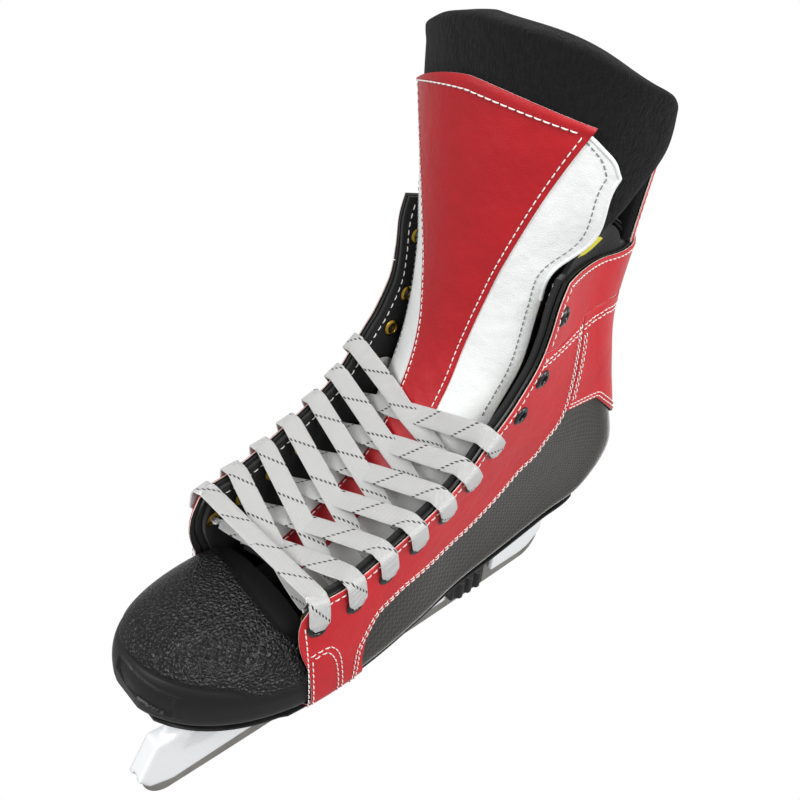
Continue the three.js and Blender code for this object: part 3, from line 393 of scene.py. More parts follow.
def spline(points, count=200):
    points = np.array(points, float)
    d = walked(points)
    row = np.interp(np.linspace(0, d[-1], count), d, np.arange(len(points)))
    return between(points, row)


def side_line(points, out, count=200):
    xz = spline(points, count)
    return wall_line(*locate(xz[:, 0], xz[:, 1]), out)


def inset(line, amount):
    """The line moved sideways within its surface; positive is to the left of its course seen from outside."""
    p, n = line
    way = unit(np.gradient(p, axis=0))
    return p + unit(np.cross(n, way)) * amount, n


# Materials: sizes are in metres.
class Paint:
    """A material built from shader nodes: calls take numbers, colours or other nodes' outputs."""

    def __init__(self, name, color, rough, metal=0.0, **more):
        self.material = bpy.data.materials.new(name)
        self.material.use_nodes = True
        self.tree = self.material.node_tree
        self.bsdf = self.tree.nodes["Principled BSDF"]
        self.put(self.bsdf, **{"Base Color": color, "Roughness": rough, "Metallic": metal}, **more)

    def put(self, node, **values):
        for key, value in values.items():
            socket = node.inputs[int(key[1:])] if key[0] == "_" else node.inputs[key]
            if isinstance(value, bpy.types.NodeSocket):
                self.tree.links.new(value, socket)
            elif socket.type == "RGBA" and len(value) == 3:
                socket.default_value = (*value, 1)
            else:
                socket.default_value = value
        return node

    def set(self, **values):
        self.put(self.bsdf, **values)
        return self

    def node(self, kind, out=0, props=None, **values):
        made = self.tree.nodes.new("ShaderNode" + kind)
        for key, value in (props or {}).items():
            setattr(made, key, value)
        self.put(made, **values)
        return made.outputs[out]

    def math(self, op, a, b=0.0, c=0.0):
        return self.node("Math", props={"operation": op}, _0=a, _1=b, _2=c)

    def coords(self, kind="Object", scale=(1, 1, 1), turn=(0, 0, 0)):
        source = self.node("TexCoord", kind)
        return self.node("Mapping", Vector=source, Scale=scale, Rotation=turn)

    def noise(self, at, size, detail=3.0, rough=0.5):
        return self.node("TexNoise", Vector=at, Scale=1 / size, Detail=detail, Roughness=rough)

    def cells(self, at, size, feature="F1"):
        return self.node("TexVoronoi", 0, {"feature": feature}, Vector=at, Scale=1 / size)

    def ramp(self, value, low, high, a=0.0, b=1.0):
        return self.node("MapRange", **{"Value": value, "From Min": low, "From Max": high,
                                        "To Min": a, "To Max": b})

    def mix(self, factor, a, b, how="MIX"):
        return self.node("Mix", 2, {"data_type": "RGBA", "blend_type": how}, _0=factor, _6=a, _7=b)

    def tint(self, color, tone):
        """The colour, lighter or darker by a factor."""
        return self.mix(1.0, color, self.node("CombineColor", Red=tone, Green=tone, Blue=tone), "MULTIPLY")

    def bump(self, height, depth, normal=None):
        more = {} if normal is None else {"Normal": normal}
        return self.node("Bump", Height=height, Distance=depth, Strength=1.0, **more)

    def add(self, a, b):
        return self.math("ADD", a, b)

    def mul(self, a, b):
        return self.math("MULTIPLY", a, b)


def rgb(r, g, b):
    """sRGB 0-255 to linear."""
    return tuple(((c / 255 + 0.055) / 1.055) ** 2.4 if c > 10 else c / 255 / 12.92 for c in (r, g, b))


def leather(name, color, rough=0.42, grain=0.0009):
    m = Paint(name, color, rough)
    at = m.coords()
    edge = m.cells(at, grain, "DISTANCE_TO_EDGE")
    pores = m.ramp(edge, 0.0, 0.28)
    fine = m.noise(at, 0.0004, 4)
    folds = m.noise(at, 0.012, 2)
    height = m.add(m.mul(pores, 0.7), m.mul(fine, 0.35))
    soft = m.bump(folds, 0.0009)
    tone = m.ramp(m.noise(at, 0.02, 3), 0.3, 0.7, 0.93, 1.05)
    m.set(**{"Base Color": m.tint(color, tone), "Normal": m.bump(height, 0.00007, soft),
             "Roughness": m.ramp(m.add(fine, pores), 0.2, 1.6, rough + 0.1, rough - 0.05),
             "Specular IOR Level": 0.5})
    return m.material


def thread(name, color):
    m = Paint(name, color, 0.75)
    at = m.coords()
    m.set(Normal=m.bump(m.noise(at, 0.00025, 3), 0.0002))
    return m.material


def cloth(name, color, size=0.0009, sheen=0.15):
    m = Paint(name, color, 0.95)
    at = m.coords()
    a, b, c = (m.node("TexWave", 1, {"bands_direction": way}, Vector=at, Scale=0.314 / size, Distortion=0.4)
               for way in "XYZ")
    weave = m.add(m.add(a, b), c)
    height = m.add(m.mul(weave, 0.3), m.noise(at, 0.0006, 4))
    tone = m.ramp(m.noise(at, 0.0022, 5, 0.7), 0.3, 0.75, 0.6, 1.35)
    m.set(**{"Base Color": m.tint(color, tone), "Normal": m.bump(height, 0.0003), "Sheen Weight": sheen})
    return m.material


def felt(name, color):
    m = Paint(name, color, 1.0)
    at = m.coords()
    long = m.noise(m.coords(scale=(1, 1, 0.35)), 0.0011, 8, 0.75)
    lumps = m.noise(at, 0.006, 4, 0.6)
    height = m.add(long, m.mul(lumps, 1.4))
    tone = m.ramp(long, 0.35, 0.68, 0.35, 2.4)
    m.set(**{"Base Color": m.tint(color, tone), "Normal": m.bump(height, 0.0011), "Sheen Weight": 0.08,
             "Sheen Roughness": 0.6, "Specular IOR Level": 0.1})
    return m.material


def carbon(name):
    """2/2 twill of glossy tows under a clear coat, drawn in the sheet's own coordinates."""
    m = Paint(name, (0.02, 0.02, 0.02), 0.3)
    uv = m.coords("UV", scale=(1 / 0.0019, 1 / 0.0019, 1), turn=(0, 0, 0.35))
    parts = m.node("SeparateXYZ", 0, Vector=uv)
    x, y = parts, parts.node.outputs[1]
    step = m.math("SUBTRACT", m.math("FLOOR", x), m.math("FLOOR", y))
    over = m.math("LESS_THAN", m.math("MODULO", m.add(m.math("MODULO", step, 4.0), 4.0), 4.0), 1.5)
    fx = m.math("SINE", m.mul(m.math("FRACT", x), math.pi))
    fy = m.math("SINE", m.mul(m.math("FRACT", y), math.pi))
    tow = m.add(m.mul(over, fx), m.mul(m.math("SUBTRACT", 1.0, over), fy))
    # Painted light: the colour is lighter along the middle of each tow and on the tows lying on top, a
    # painted sheen, and darker at the tow edges, painted shade.
    tone = m.mul(m.ramp(tow, 0, 1, 0.35, 1.0), m.ramp(over, 0, 1, 0.5, 1.0))
    m.set(**{"Base Color": m.mix(tone, (0.001, 0.001, 0.001), (0.04, 0.035, 0.028)),
             "Metallic": 0.2, "Specular IOR Level": 0.15, "Normal": m.bump(tow, 0.00009), "Coat Weight": 0.55,
             "Coat Roughness": 0.05, "Coat IOR": 1.45,
             "Coat Normal": m.bump(m.noise(m.coords(), 0.01, 2), 0.0004)})
    return m.material


def shell(name, color):
    """Moulded toe cap: pebbles where the mesh says so, fine sand elsewhere."""
    m = Paint(name, color, 0.42)
    at = m.coords()
    cell = m.cells(at, 0.0021, "DISTANCE_TO_EDGE")
    fine = m.cells(at, 0.0012, "F1")
    dome = m.add(m.ramp(cell, 0.0, 0.35), m.ramp(fine, 0.1, 0.7, 0.45, 0.0))
    mask = m.node("Attribute", 2, {"attribute_name": "pebble"})
    height = m.mul(dome, mask)
    sand = m.noise(at, 0.0004, 3)
    low = m.bump(sand, 0.00006)
    m.set(**{"Normal": m.bump(height, 0.0005, low), "Roughness": m.ramp(sand, 0.3, 0.7, 0.36, 0.5),
             "Specular IOR Level": 0.45})
    return m.material


def moulded(name, color, rough=0.3, coat=0.0):
    m = Paint(name, color, rough)
    at = m.coords()
    m.set(**{"Normal": m.bump(m.noise(at, 0.004, 3), 0.00008, m.bump(m.noise(at, 0.0005, 2), 0.00002)),
             "Roughness": m.ramp(m.noise(at, 0.01, 4), 0.3, 0.7, rough - 0.05, rough + 0.08),
             "Coat Weight": coat, "Coat Roughness": 0.08})
    return m.material


def steel(name, color, rough=0.32, along=(0.04, 1, 1)):
    m = Paint(name, color, rough, 1.0)
    at = m.coords(scale=along)
    lines = m.noise(at, 0.0004, 5, 0.7)
    wear = m.noise(m.coords(), 0.012, 4)
    m.set(**{"Base Color": m.mix(m.ramp(wear, 0.35, 0.7), color, tuple(c * 0.72 for c in color)),
             "Normal": m.bump(lines, 0.00004),
             "Roughness": m.ramp(lines, 0.3, 0.7, rough - 0.08, rough + 0.14)})
    return m.material


def lace_weave(name):
    """Flat braid: u runs along it and v across it, with dashed dark tracers that cross it."""
    m = Paint(name, (0.8, 0.8, 0.79), 0.9)
    uv = m.node("TexCoord", "UV")
    parts = m.node("SeparateXYZ", 0, Vector=uv)
    u = m.mul(parts, 1000.0)
    v = m.mul(parts.node.outputs[1], 1000.0)
    slant = m.math("FRACT", m.math("DIVIDE", m.add(u, m.mul(v, 1.25)), 23.0))
    line = m.math("LESS_THAN", m.math("ABSOLUTE", m.math("SUBTRACT", slant, 0.5)), 0.035)
    dash = m.math("LESS_THAN", m.math("FRACT", m.math("DIVIDE", v, 1.45)), 0.52)
    ink = m.mul(line, dash)
    a = m.math("SINE", m.mul(m.add(u, v), 2 * math.pi / 0.75))
    b = m.math("SINE", m.mul(m.math("SUBTRACT", u, v), 2 * math.pi / 0.75))
    rib = m.add(m.mul(a, 0.5), m.mul(b, 0.5))
    fuzz = m.noise(m.coords(), 0.0004, 4)
    height = m.add(rib, fuzz)
    # The white yarn is painted darker in the grooves between the ribs: painted shade.
    white = m.mix(m.ramp(rib, -1, 1), (0.62, 0.63, 0.62), (0.92, 0.92, 0.91))
    m.set(**{"Base Color": m.mix(ink, white, (0.01, 0.01, 0.012)), "Normal": m.bump(height, 0.0003),
             "Sheen Weight": 0.2})
    return m.material


RED = leather("red_leather", rgb(190, 24, 34), 0.4)
# The tongue panel's red is the red leather made darker: painted shade, for a panel that faces away from the
# key light.
SHADED_TONGUE_RED = leather("tongue_red_painted_shade", rgb(172, 12, 24), 0.46)
WHITE = leather("white_leather", rgb(232, 234, 233), 0.42, 0.0012)
RAW = cloth("raw_edge", rgb(226, 206, 200), 0.0005)
BLACK_EDGE = cloth("black_edge", rgb(22, 22, 24), 0.0005)
LINING_CLOTH = cloth("lining_cloth", rgb(12, 12, 13), 0.0008, sheen=0.05)
FELT = felt("felt", rgb(11, 11, 13))
TWILL = carbon("carbon_twill")
TOE_SHELL = shell("toe_shell", rgb(13, 13, 14))
LACE = lace_weave("lace_weave")
THREAD = thread("white_thread", rgb(236, 232, 228))
GREY_THREAD = thread("grey_thread", rgb(120, 122, 124))
HOLDER = moulded("holder_white", rgb(236, 238, 240), 0.22, 0.6)
SOLE = moulded("sole_black", rgb(14, 14, 15), 0.38)
TRIGGER = moulded("trigger_black", rgb(27, 27, 28), 0.45)
FLANGE = moulded("eyelet_enamel", rgb(16, 16, 17), 0.28, 0.4)
BRASS = steel("brass", rgb(196, 160, 62), 0.3, (1, 1, 1))
STEEL = steel("runner_steel", rgb(190, 186, 180), 0.3)
GROUND = steel("ground_edge", rgb(205, 200, 192), 0.4, (0.02, 1, 1))
COPPER = steel("rivet_copper", rgb(190, 140, 96), 0.32, (1, 1, 1))
YELLOW = thread("accent_yellow", rgb(214, 206, 60))
BOARD = cloth("fibre_board", rgb(150, 128, 98), 0.0006)
FOAM = cloth("footbed_cloth", rgb(38, 38, 40), 0.0011)
TIP = moulded("lace_tip", rgb(224, 226, 226), 0.2, 0.8)


# Pieces.
SIDES = ((1, "lateral"), (-1, "medial"))


def pair(node, make):
    """Builds the lateral piece and its mirror image, each in place of its CAD node."""
    for side, word in SIDES:
        obj = make(f"{node}_{word}_look", side)
        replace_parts(obj, f"{node}_{word}")


SETBACK_LOW, SETBACK_HIGH, EYELETS, LACED = 13, 9, 10, 7


def eyelet_place(u, k):
    setback = lerp(SETBACK_LOW, SETBACK_HIGH, float(smooth(k / (EYELETS - 1))))
    s = between(LAST, u)
    span = np.hypot(s[0] - s[2], s[1] - s[3])
    p, n = wall(u, 1 - setback / (span - s[6]))
    return p, n


def eyelet_rows():
    rows, u, walked, goal = [], 0.4, 0.0, 4.2
    last = eyelet_place(u, 0)[0]
    for k in range(EYELETS):
        while walked < goal and u < TOP_ROW:
            u += 0.005
            p = eyelet_place(u, k)[0]
            walked += np.linalg.norm(p - last)
            last = p
        rows.append((u, *eyelet_place(u, k)))
        goal = walked + (31 if k == EYELETS - 2 else 19)
    return rows


ROWS = eyelet_rows()
BORE, EYELET_WALL, FLANGE_R = 2.3, 0.6, 4.7


def lathe(profile, p, n, segments=32):
    """Points and faces of a closed profile of (radius, height) turned about n through p."""
    a = unit(np.cross(np.array([0, 0, 1.0]), n))
    b = np.cross(n, a)
    angle = np.linspace(0, 2 * np.pi, segments, endpoint=False)
    rim = np.cos(angle)[:, None] * a + np.sin(angle)[:, None] * b
    points = np.concatenate([p + r * rim + h * n for r, h in profile])
    count = len(profile)
    faces = []
    for i in range(count):
        k = (i + 1) % count
        for j in range(segments):
            m = (j + 1) % segments
            faces.append([i * segments + j, i * segments + m, k * segments + m, k * segments + j])
    return points, faces


def cutter(rows):
    parts = []
    for _, p, n in rows:
        ends = [(0.01, LINER_BOTTOM - 4), (BORE + EYELET_WALL, LINER_BOTTOM - 4), (BORE + EYELET_WALL, 6),
                (0.01, 6)]
        parts.append(lathe(ends, p, n, 24))
    points, faces = join(parts)
    data = bpy.data.meshes.new("bores")
    data.from_pydata(row_frame(points).tolist(), [], faces)
    data.update()
    return bpy.data.objects.new("bores", data)


def pierce(obj, rows, side):
    """Cuts the eyelet bores through a finished slab."""
    tool = cutter([(u, p * [1, side, 1], n * [1, side, 1]) for u, p, n in rows])
    scene.collection.objects.link(tool)
    cut = obj.modifiers.new("bores", "BOOLEAN")
    cut.object, cut.solver, cut.operation = tool, "EXACT", "DIFFERENCE"
    bpy.context.view_layer.update()
    graph = bpy.context.evaluated_depsgraph_get()
    data = bpy.data.meshes.new_from_object(obj.evaluated_get(graph), preserve_all_data_layers=True,
                                           depsgraph=graph)
    obj.modifiers.remove(cut)
    obj.data = data
    bpy.data.objects.remove(tool)
    return obj


def back_seam(u):
    return smooth((u - 7.2) / 1.3)


def quarter_curve(rise):
    def curve(t):
        u = lerp(0.35, TOP_ROW, t)
        return u, lerp(at_rise(u, rise), -0.9995, back_seam(u))
    return curve


def throat_curve(t):
    return lerp(0.35, TOP_ROW, t), 1 + 0 * t


def side_points(points):
    return [[float(v) for v in locate(x, z)] for x, z in points]


def make_quarter(name, side):
    obj = slab(name, strip(quarter_curve(0.9), throat_curve, back=0.22), (150, 46), (440, 130),
               -CARBON, 0, [TWILL, SOLE, LINING_CLOTH], 0.4, side, halve=True, slot="carbon")
    return pierce(obj, ROWS, side)


def make_liner(name, side):
    obj = slab(name, strip(quarter_curve(7.4), throat_curve, back=0.4), (130, 40), (440, 120),
               LINER_BOTTOM, LINER_TOP, [LINING_CLOTH, BLACK_EDGE, LINING_CLOTH], 0.9, side,
               halve=True, slot="lining")
    pierce(obj, ROWS, side)
    return obj


BAND_Z = 217
FACING_STOPS = np.array([0, 4, 5, 6, 7, 8, 9.5, 11.5, 13.5, 15.5, 17, 19, 20.5, 22.5, 24]) / 24
facing_lower = run(
    [[0.35, float(at_rise(0.35, 3))], [2.35, float(at_rise(2.35, 3))], *side_points(
        [(195, 70), (194, 79), (193, 91), (184, 106), (170, 111), (149, 113.5), (126, 119),
         (105, 128.5), (91, 138), (76, 151), (66, 164), (64, 190), (66, BAND_Z - 0.3)])],
    FACING_STOPS, 0.02)
BAND_FRONT = float(locate(103, BAND_Z)[0])


def facing_upper(t):
    return lerp(0.35, BAND_FRONT - 0.02, t), 1 + 0 * t


def make_facing(name, side):
    obj = slab(name, strip(facing_lower, facing_upper), (150, 24), (330, 40),
               LAYER, LEATHER_TOP, [RED, RAW, LINING_CLOTH], 0.55, side, slot="red_leather")
    return pierce(obj, ROWS[:-1], side)


def panel_surface(lower, upper):
    def surface(s, t):
        a, b = lower(s), upper(s)
        return wall(lerp(a[0], b[0], t), np.maximum(lerp(a[1], b[1], t), -0.9995))
    return surface


ankle_lower = run([*side_points([(65, 164), (51, 160.5), (35, 157)]), [9.75, -0.55], [9.7, -1]],
                  [0, 0.2, 0.4, 0.7, 1], 0.04)
ankle_upper = run([*side_points([(65, 216.7), (45, 218)]), [12.3, -0.6], [12.32, -1]],
                  [0, 0.35, 0.7, 1], 0.04)
band_lower = run([[BAND_FRONT + 0.02, 1], *side_points([(66, 217.3), (45, 218.6)]), [12.35, -0.6],
                  [12.35, -1]], [0, 0.35, 0.52, 0.78, 1], 0.04)
band_upper = run([[13, 1], [13, 0], [13, -1]], [0, 0.55, 1], 0.05)


def make_ankle(name, side):
    return slab(name, panel_surface(ankle_lower, ankle_upper), (70, 36), (110, 55), LAYER, LEATHER_TOP,
                [RED, RAW, LINING_CLOTH], 0.55, side, halve=True, slot="red_leather")


def make_band(name, side):
    obj = slab(name, panel_surface(band_lower, band_upper), (90, 24), (150, 25), LAYER, LEATHER_TOP,
               [RED, RAW, LINING_CLOTH], 0.55, side, halve=True, slot="red_leather")
    return pierce(obj, ROWS[-1:], side)


pair("quarter", make_quarter)
pair("liner", make_liner)
pair("facing", make_facing)
pair("ankle_panel", make_ankle)
pair("cuff_band", make_band)

# Toe cap.
TOE_X, TOE_LENGTH, TOE_WIDTH, TOE_HEIGHT = 205, 76, 44.7, 47.5
TOE_TIP = TOE_X + TOE_LENGTH
TOE_LIP, TOE_EDGE, TOE_OUT, TOE_IN = 0.95, 0.8, 0.4, -2.2
TOE_POWER = 2.3
TOE_ABOVE, TOE_BELOW, TOE_LEAN = 0.66, 0.34, 10


def bulge(s, power):
    return np.maximum(0, 1 - s**power) ** (1 / power)


def toe_sole(s):
    return 64 + 6 * s**4


def toe_point(s, a):
    s, a = np.broadcast_arrays(np.asarray(s, float), np.asarray(a, float))
    height = TOE_HEIGHT * bulge(s, 2.7)
    c, d = np.cos(a), np.sin(a)
    power = np.where(d >= 0, 2 / 2.3, 2 / 4)
    y = TOE_WIDTH * bulge(s, TOE_POWER) * np.sign(c) * np.abs(c) ** power - TOE_LEAN * s**1.5
    over, under = TOE_ABOVE * height * np.abs(d) ** (2 / 2.3), -TOE_BELOW * height * np.abs(d) ** 0.5
    z = toe_sole(s) + TOE_BELOW * height + np.where(d >= 0, over, under)
    return np.stack([TOE_X + TOE_LENGTH * s, y, z], -1)


def toe(s, a):
    e = 2e-3
    ds = toe_point(np.minimum(s + e, 0.9999), a) - toe_point(np.maximum(s - e, 0), a)
    da = toe_point(s, a + e) - toe_point(s, a - e)
    n = unit(np.cross(da, ds))
    return toe_point(s, a), n


def toe_rear(a):
    p = toe_point(0.2, a)
    u, q = locate(222 + 0 * p[..., 0], np.minimum(p[..., 2], 128))
    edge = wall(np.maximum(front_edge(q), 0), np.clip(q, -0.9, 1))[0][..., 0] - 1.2
    at_side = smooth((np.abs(p[..., 1]) - 33) / 4.5)
    x = lerp(213, np.maximum(edge, 213), at_side)
    return np.clip((x - TOE_X) / TOE_LENGTH, 0, 0.6)


def toe_surface(t, v):
    a = lerp(-TOE_LIP, np.pi + TOE_LIP, v)
    return toe(lerp(toe_rear(a), 0.985, np.sin(t * np.pi / 2)), a)


def toe_cap():
    rows, columns = 90, 190
    t = np.concatenate([[0, 0.003, 0.008], np.linspace(0.014, 1, rows - 2)])
    v = np.linspace(0, 1, columns + 1)
    tt, vv = np.meshgrid(t, v, indexing="ij")
    p, n = toe_surface(tt, vv)
    x, y, z = p[..., 0], p[..., 1], p[..., 2]
    s = (x - TOE_X) / TOE_LENGTH
    # The pebbled dome ends at an S-shaped line across the top and above the smooth lower band.
    rear = 221 + 3 * np.sin((y + 12) / 17) - 6 * smooth((np.abs(y) - 24) / 14)
    low = toe_sole(s) + 25.5 - 5 * smooth((254 - x) / 14) + 1.5 * np.sin(y / 14)
    inside = smooth((x - rear) / 1.6) * smooth((z - low) / 1.6)
    lift = 0.55 * inside
    band = smooth((z - toe_sole(s) - 3.0) / 1.2) * smooth((low - 2.0 - z) / 1.2)
    lift = lift + 0.2 * band - 0.35 * smooth(1 - np.abs(z - low + 0.6) / 1.1)
    # A plain recessed badge field on the lower band at the front.
    def badge(half, low, high):
        return (smooth((half - np.abs(y * 0.8)) / 0.7) * smooth((z - toe_sole(s) - low) / 0.6)
                * smooth((toe_sole(s) + high - z) / 0.6) * smooth((x - 262) / 2))

    lift = lift + 0.5 * badge(15, 7.5, 21.5) - 1.1 * badge(13, 9, 20)
    edge = np.minimum(tt * TOE_LENGTH, TOE_EDGE)
    roll = TOE_EDGE - np.sqrt(np.maximum(TOE_EDGE**2 - (TOE_EDGE - edge) ** 2, 0))
    outer = p + n * (TOE_OUT + lift - roll)[..., None]
    inner = p + n * (TOE_IN + roll * 0.5)[..., None]
    floor = toe_sole(np.clip(s, 0, 1)) + 0.2
    outer[..., 2] = np.maximum(outer[..., 2], floor)
    inner[..., 2] = np.maximum(inner[..., 2], floor)
    points = np.concatenate([outer.reshape(-1, 3), inner.reshape(-1, 3)])
    layer = outer.shape[0] * outer.shape[1]
    rows = len(t) - 1
    top, bottom, rims = shell_faces(rows, columns, rear=False)
    stride = columns + 1
    # The tip is closed by two fans, outside and inside.
    ends = []
    extra = []
    for k, grid in enumerate((outer, inner)):
        middle = grid[-1].mean(0) + [0.35 * (1 - 2 * k), 0, 0]
        extra.append(middle)
        m = len(points) + k
        base = k * layer + rows * stride
        fan = [[base + c, base + c + 1, m] for c in range(columns)]
        fan.append([base + columns, base, m])
        ends += fan if k == 0 else [f[::-1] for f in fan]
    points = np.concatenate([points, extra])
    faces = [list(f) for f in np.concatenate([top, bottom, rims])] + ends
    c = points[top[len(top) // 2]]
    if np.dot(np.cross(c[1] - c[0], c[3] - c[0]), n.reshape(-1, 3)[top[len(top) // 2][0]]) < 0:
        faces = [f[::-1] for f in faces]
    obj = mesh("toe_cap_look", points, faces, [TOE_SHELL], slot="toe_shell", crease=35)
    pebble = np.zeros(len(points), np.float32)
    pebble[:layer] = (inside * smooth((x - rear - 1.5) / 1.5)).reshape(-1)
    obj.data.attributes.new("pebble", "FLOAT", "POINT").data.foreach_set("value", pebble)
    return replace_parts(obj, "toe_cap")


toe_cap()


# Soles.
def sole_height(x):
    x = np.atleast_1d(np.asarray(x, float))
    u = np.linspace(0, 8, 401)
    line = between(LAST, u)
    rear = np.interp(x, line[::-1, 2], line[::-1, 3])
    return np.where(x > TOE_X + 0.3 * TOE_LENGTH, toe_sole((x - TOE_X) / TOE_LENGTH), rear)


def sole_widths(x, rise, inward):
    s = (x - TOE_X) / TOE_LENGTH
    if s > 0.33:
        half = TOE_WIDTH * float(bulge(min(s, 1), TOE_POWER))
        kept = half * (1 - (1 - np.clip(rise / (TOE_BELOW * TOE_HEIGHT), 0.03, 1)) ** 4) ** 0.25
        lean = -TOE_LEAN * s**1.5
        return max(kept + lean - inward, 2), max(kept - lean - inward, 2)
    u, q = locate(x, sole_height(x)[0] + rise)
    half = max(float(wall_point(u, q)[1]) - inward, 3)
    return half, half


def soled_plate(name, node, x0, x1, low, high, rise, inward, count, material, slot):
    """A plate of the sole with rounded edges: rings across it, from rear to front."""
    rings = []
    soft = min(0.7, (high - low) * 0.3)
    for i in range(count + 1):
        x = lerp(x0, x1, 0.5 - 0.5 * math.cos(i / count * math.pi))
        base = sole_height(x)[0]
        left, right_ = sole_widths(x, rise, inward)
        round_ = math.sqrt(min(1, (x - x0 + 1.5) / 20))
        wide = np.linspace(1, -1, 25)
        y = np.where(wide > 0, wide * left, wide * right_) * round_
        fall = soft * (1 - np.sqrt(np.clip(1 - np.clip((np.abs(wide) - 0.93) / 0.07, 0, 1) ** 2, 0, 1)))
        top = np.stack([x + 0 * y, y, base + high - fall], -1)
        bottom = np.stack([x + 0 * y, y[::-1], base + low + fall[::-1]], -1)
        rings.append(np.concatenate([top, bottom]))
    rings = np.array(rings)
    faces = prism(rings.shape[0] - 1, rings.shape[1])
    obj = mesh(name, rings.reshape(-1, 3), faces, [material], slot=slot, crease=50)
    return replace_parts(obj, node)


soled_plate("outsole_look", "outsole", 1, TOE_TIP - 4, -2.8, -0.3, 4, 0, 90, SOLE, "sole_black")
soled_plate("lasting_board_look", "lasting_board", 9, TOE_TIP - 10, 4.2, 6.2, 4.2, 6.8, 60, BOARD,
            "board_tan")
footbed = soled_plate("footbed_look", "footbed", 13, TOE_TIP - 14, 6.5, 10.5, 6.5, 6.7, 80, FOAM,
                      "footbed_foam")

# Tongue.
TONGUE = np.array([
    [207, 112, 16, 45, 35.5],
    [190, 118.5, 20, 44, 36],
    [170, 128, 27, 42, 35],
    [150, 141, 38, 42, 33.5],
    [134, 160, 52, 43, 33],
    [122.5, 183, 68, 45, 34],
    [117, 205, 82, 46, 37],
    [115, 232, 90, 48, 38.5],
    [115, 250, 90, 52, 41],
    [115, 265, 90, 57, 50],
    [115.2, 285, 90, 63, 58],
    [115.6, 308, 90, 67, 63.5],
    [116, 330, 90, 68, 64],
    [116, 346, 90, 68, 62],
])


def tongue_at(k, y):
    """Centre-line row k and distance y from the middle plane, to a point and a normal."""
    k, y = np.broadcast_arrays(np.asarray(k, float), np.asarray(y, float))
    s = between(TONGUE, k)
    a = np.radians(s[..., 2])
    r = s[..., 3]
    across = np.arcsin(np.clip(y / r, -1, 1))
    out = np.stack([np.sin(a), 0 * a, np.cos(a)], -1)
    p = np.stack([s[..., 0], 0 * a, s[..., 1]], -1) - out * (r * (1 - np.cos(across)))[..., None]
    n = out * np.cos(across)[..., None]
    p[..., 1] = y
    n[..., 1] = np.sin(across)
    return p, n


def tongue_row(z):
    k = np.linspace(4, 13, 1801)
    return np.interp(z, between(TONGUE, k)[:, 1], k)


ROW_Z = np.linspace(0, 13, 2601)
ROW_TABLE = between(TONGUE, ROW_Z)


def top_drop(k, y, half, dome, power, lean):
    """How far the top edges fall towards the sides, more on the medial side."""
    whole = (k - tongue_row(206)) / (tongue_row(345) - tongue_row(206))
    sides = dome * np.clip(np.abs(y) / half, 0, 1) ** power + lean * (np.maximum(-y, 0) / 45) ** 1.2
    return np.clip(whole, 0, 1.05) ** 6 * sides


def tongue_sheet(k0, k1, inner, outer, dome, power=2, lean=33):
    """Surface between two half widths, each a function of the row; v runs from -1 to 1 or inner to outer."""
    def surface(t, v):
        k = lerp(k0, k1, t)
        low, high = inner(k), outer(k)
        y = lerp(low, high, v)
        p, n = tongue_at(k, y)
        half = between(TONGUE, k)[..., 4]
        p[..., 2] -= top_drop(k, y, half, dome, power, lean)
        return p, n
    return surface


def half_width(k):
    return between(TONGUE, k)[..., 4]


def eased(x, xs, ys, soft=0.06):
    """Linear interpolation with its corners rounded."""
    t = np.linspace(xs[0], xs[-1], 801)
    return np.interp(x, t, rounded(np.interp(t, xs, ys), int(soft * 800)))


def face_half(k):
    z = np.interp(k, ROW_Z, ROW_TABLE[:, 1])
    inset_ = lerp(1.5, 7, smooth((k - 9) / 1.5))
    outline = eased(z, [236, 247, 262, 279, 295, 307, 317, 323], [38.5, 46.4, 51.3, 55.0, 55.4, 53, 46, 36])
    return np.minimum(half_width(k) - inset_, outline)


def red_half(k):
    z = np.interp(k, ROW_Z, ROW_TABLE[:, 1])
    return eased(z, [112, 150, 180, 205, 224, 243, 261, 281, 301, 315, 325],
                 [9.5, 10.5, 12, 13.6, 17.2, 21.6, 27.2, 33.8, 40.8, 45.4, 47.5])


def felt_piece():
    top = float(tongue_row(346))
    surface = tongue_sheet(0, top, lambda k: -half_width(k), half_width, 18, 4, 11)

    def low(t, s):
        k = t * top
        thick = lerp(6, 10, smooth((k - 5.5) / 5))
        edge = np.minimum(s, 1 - s) * 2
        return -0.3 - thick * lerp(0.72, 1, smooth(edge / 0.22))

    def high(t, s):
        k = t * top
        lump = 0.35 * np.sin(5.1 * k + 9 * s) + 0.3 * np.sin(31 * s + 2.3 * k)
        free = smooth((k - tongue_row(324)) / 0.4)
        side = smooth((np.abs(2 * s - 1) - 0.86) / 0.08) * smooth((k - 8.5) / 1.5)
        return -0.3 + lump * 0.5 * np.maximum(free, side) + 0.5 * free

    obj = slab("tongue_felt_look", surface, (190, 90), (290, 90), low, high, [FELT, FELT, FELT], 3.2,
               body=None, slot="felt")
    obj.data.set_sharp_from_angle(angle=math.pi)
    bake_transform(obj)
    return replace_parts(obj, "tongue_felt_lower", "tongue_felt_upper")


felt_piece()


def bent(obj):
    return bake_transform(obj)


FACE_TOP = float(tongue_row(322))
FACE_DROP = 50


def skin_piece():
    surface = tongue_sheet(0, FACE_TOP, lambda k: -face_half(k), face_half, FACE_DROP)
    obj = slab("tongue_skin_look", surface, (170, 70), (270, 80), 0.1, 1.15, [WHITE, WHITE, FELT], 0.5,
               body=None, slot="red_leather")
    return bent(obj)


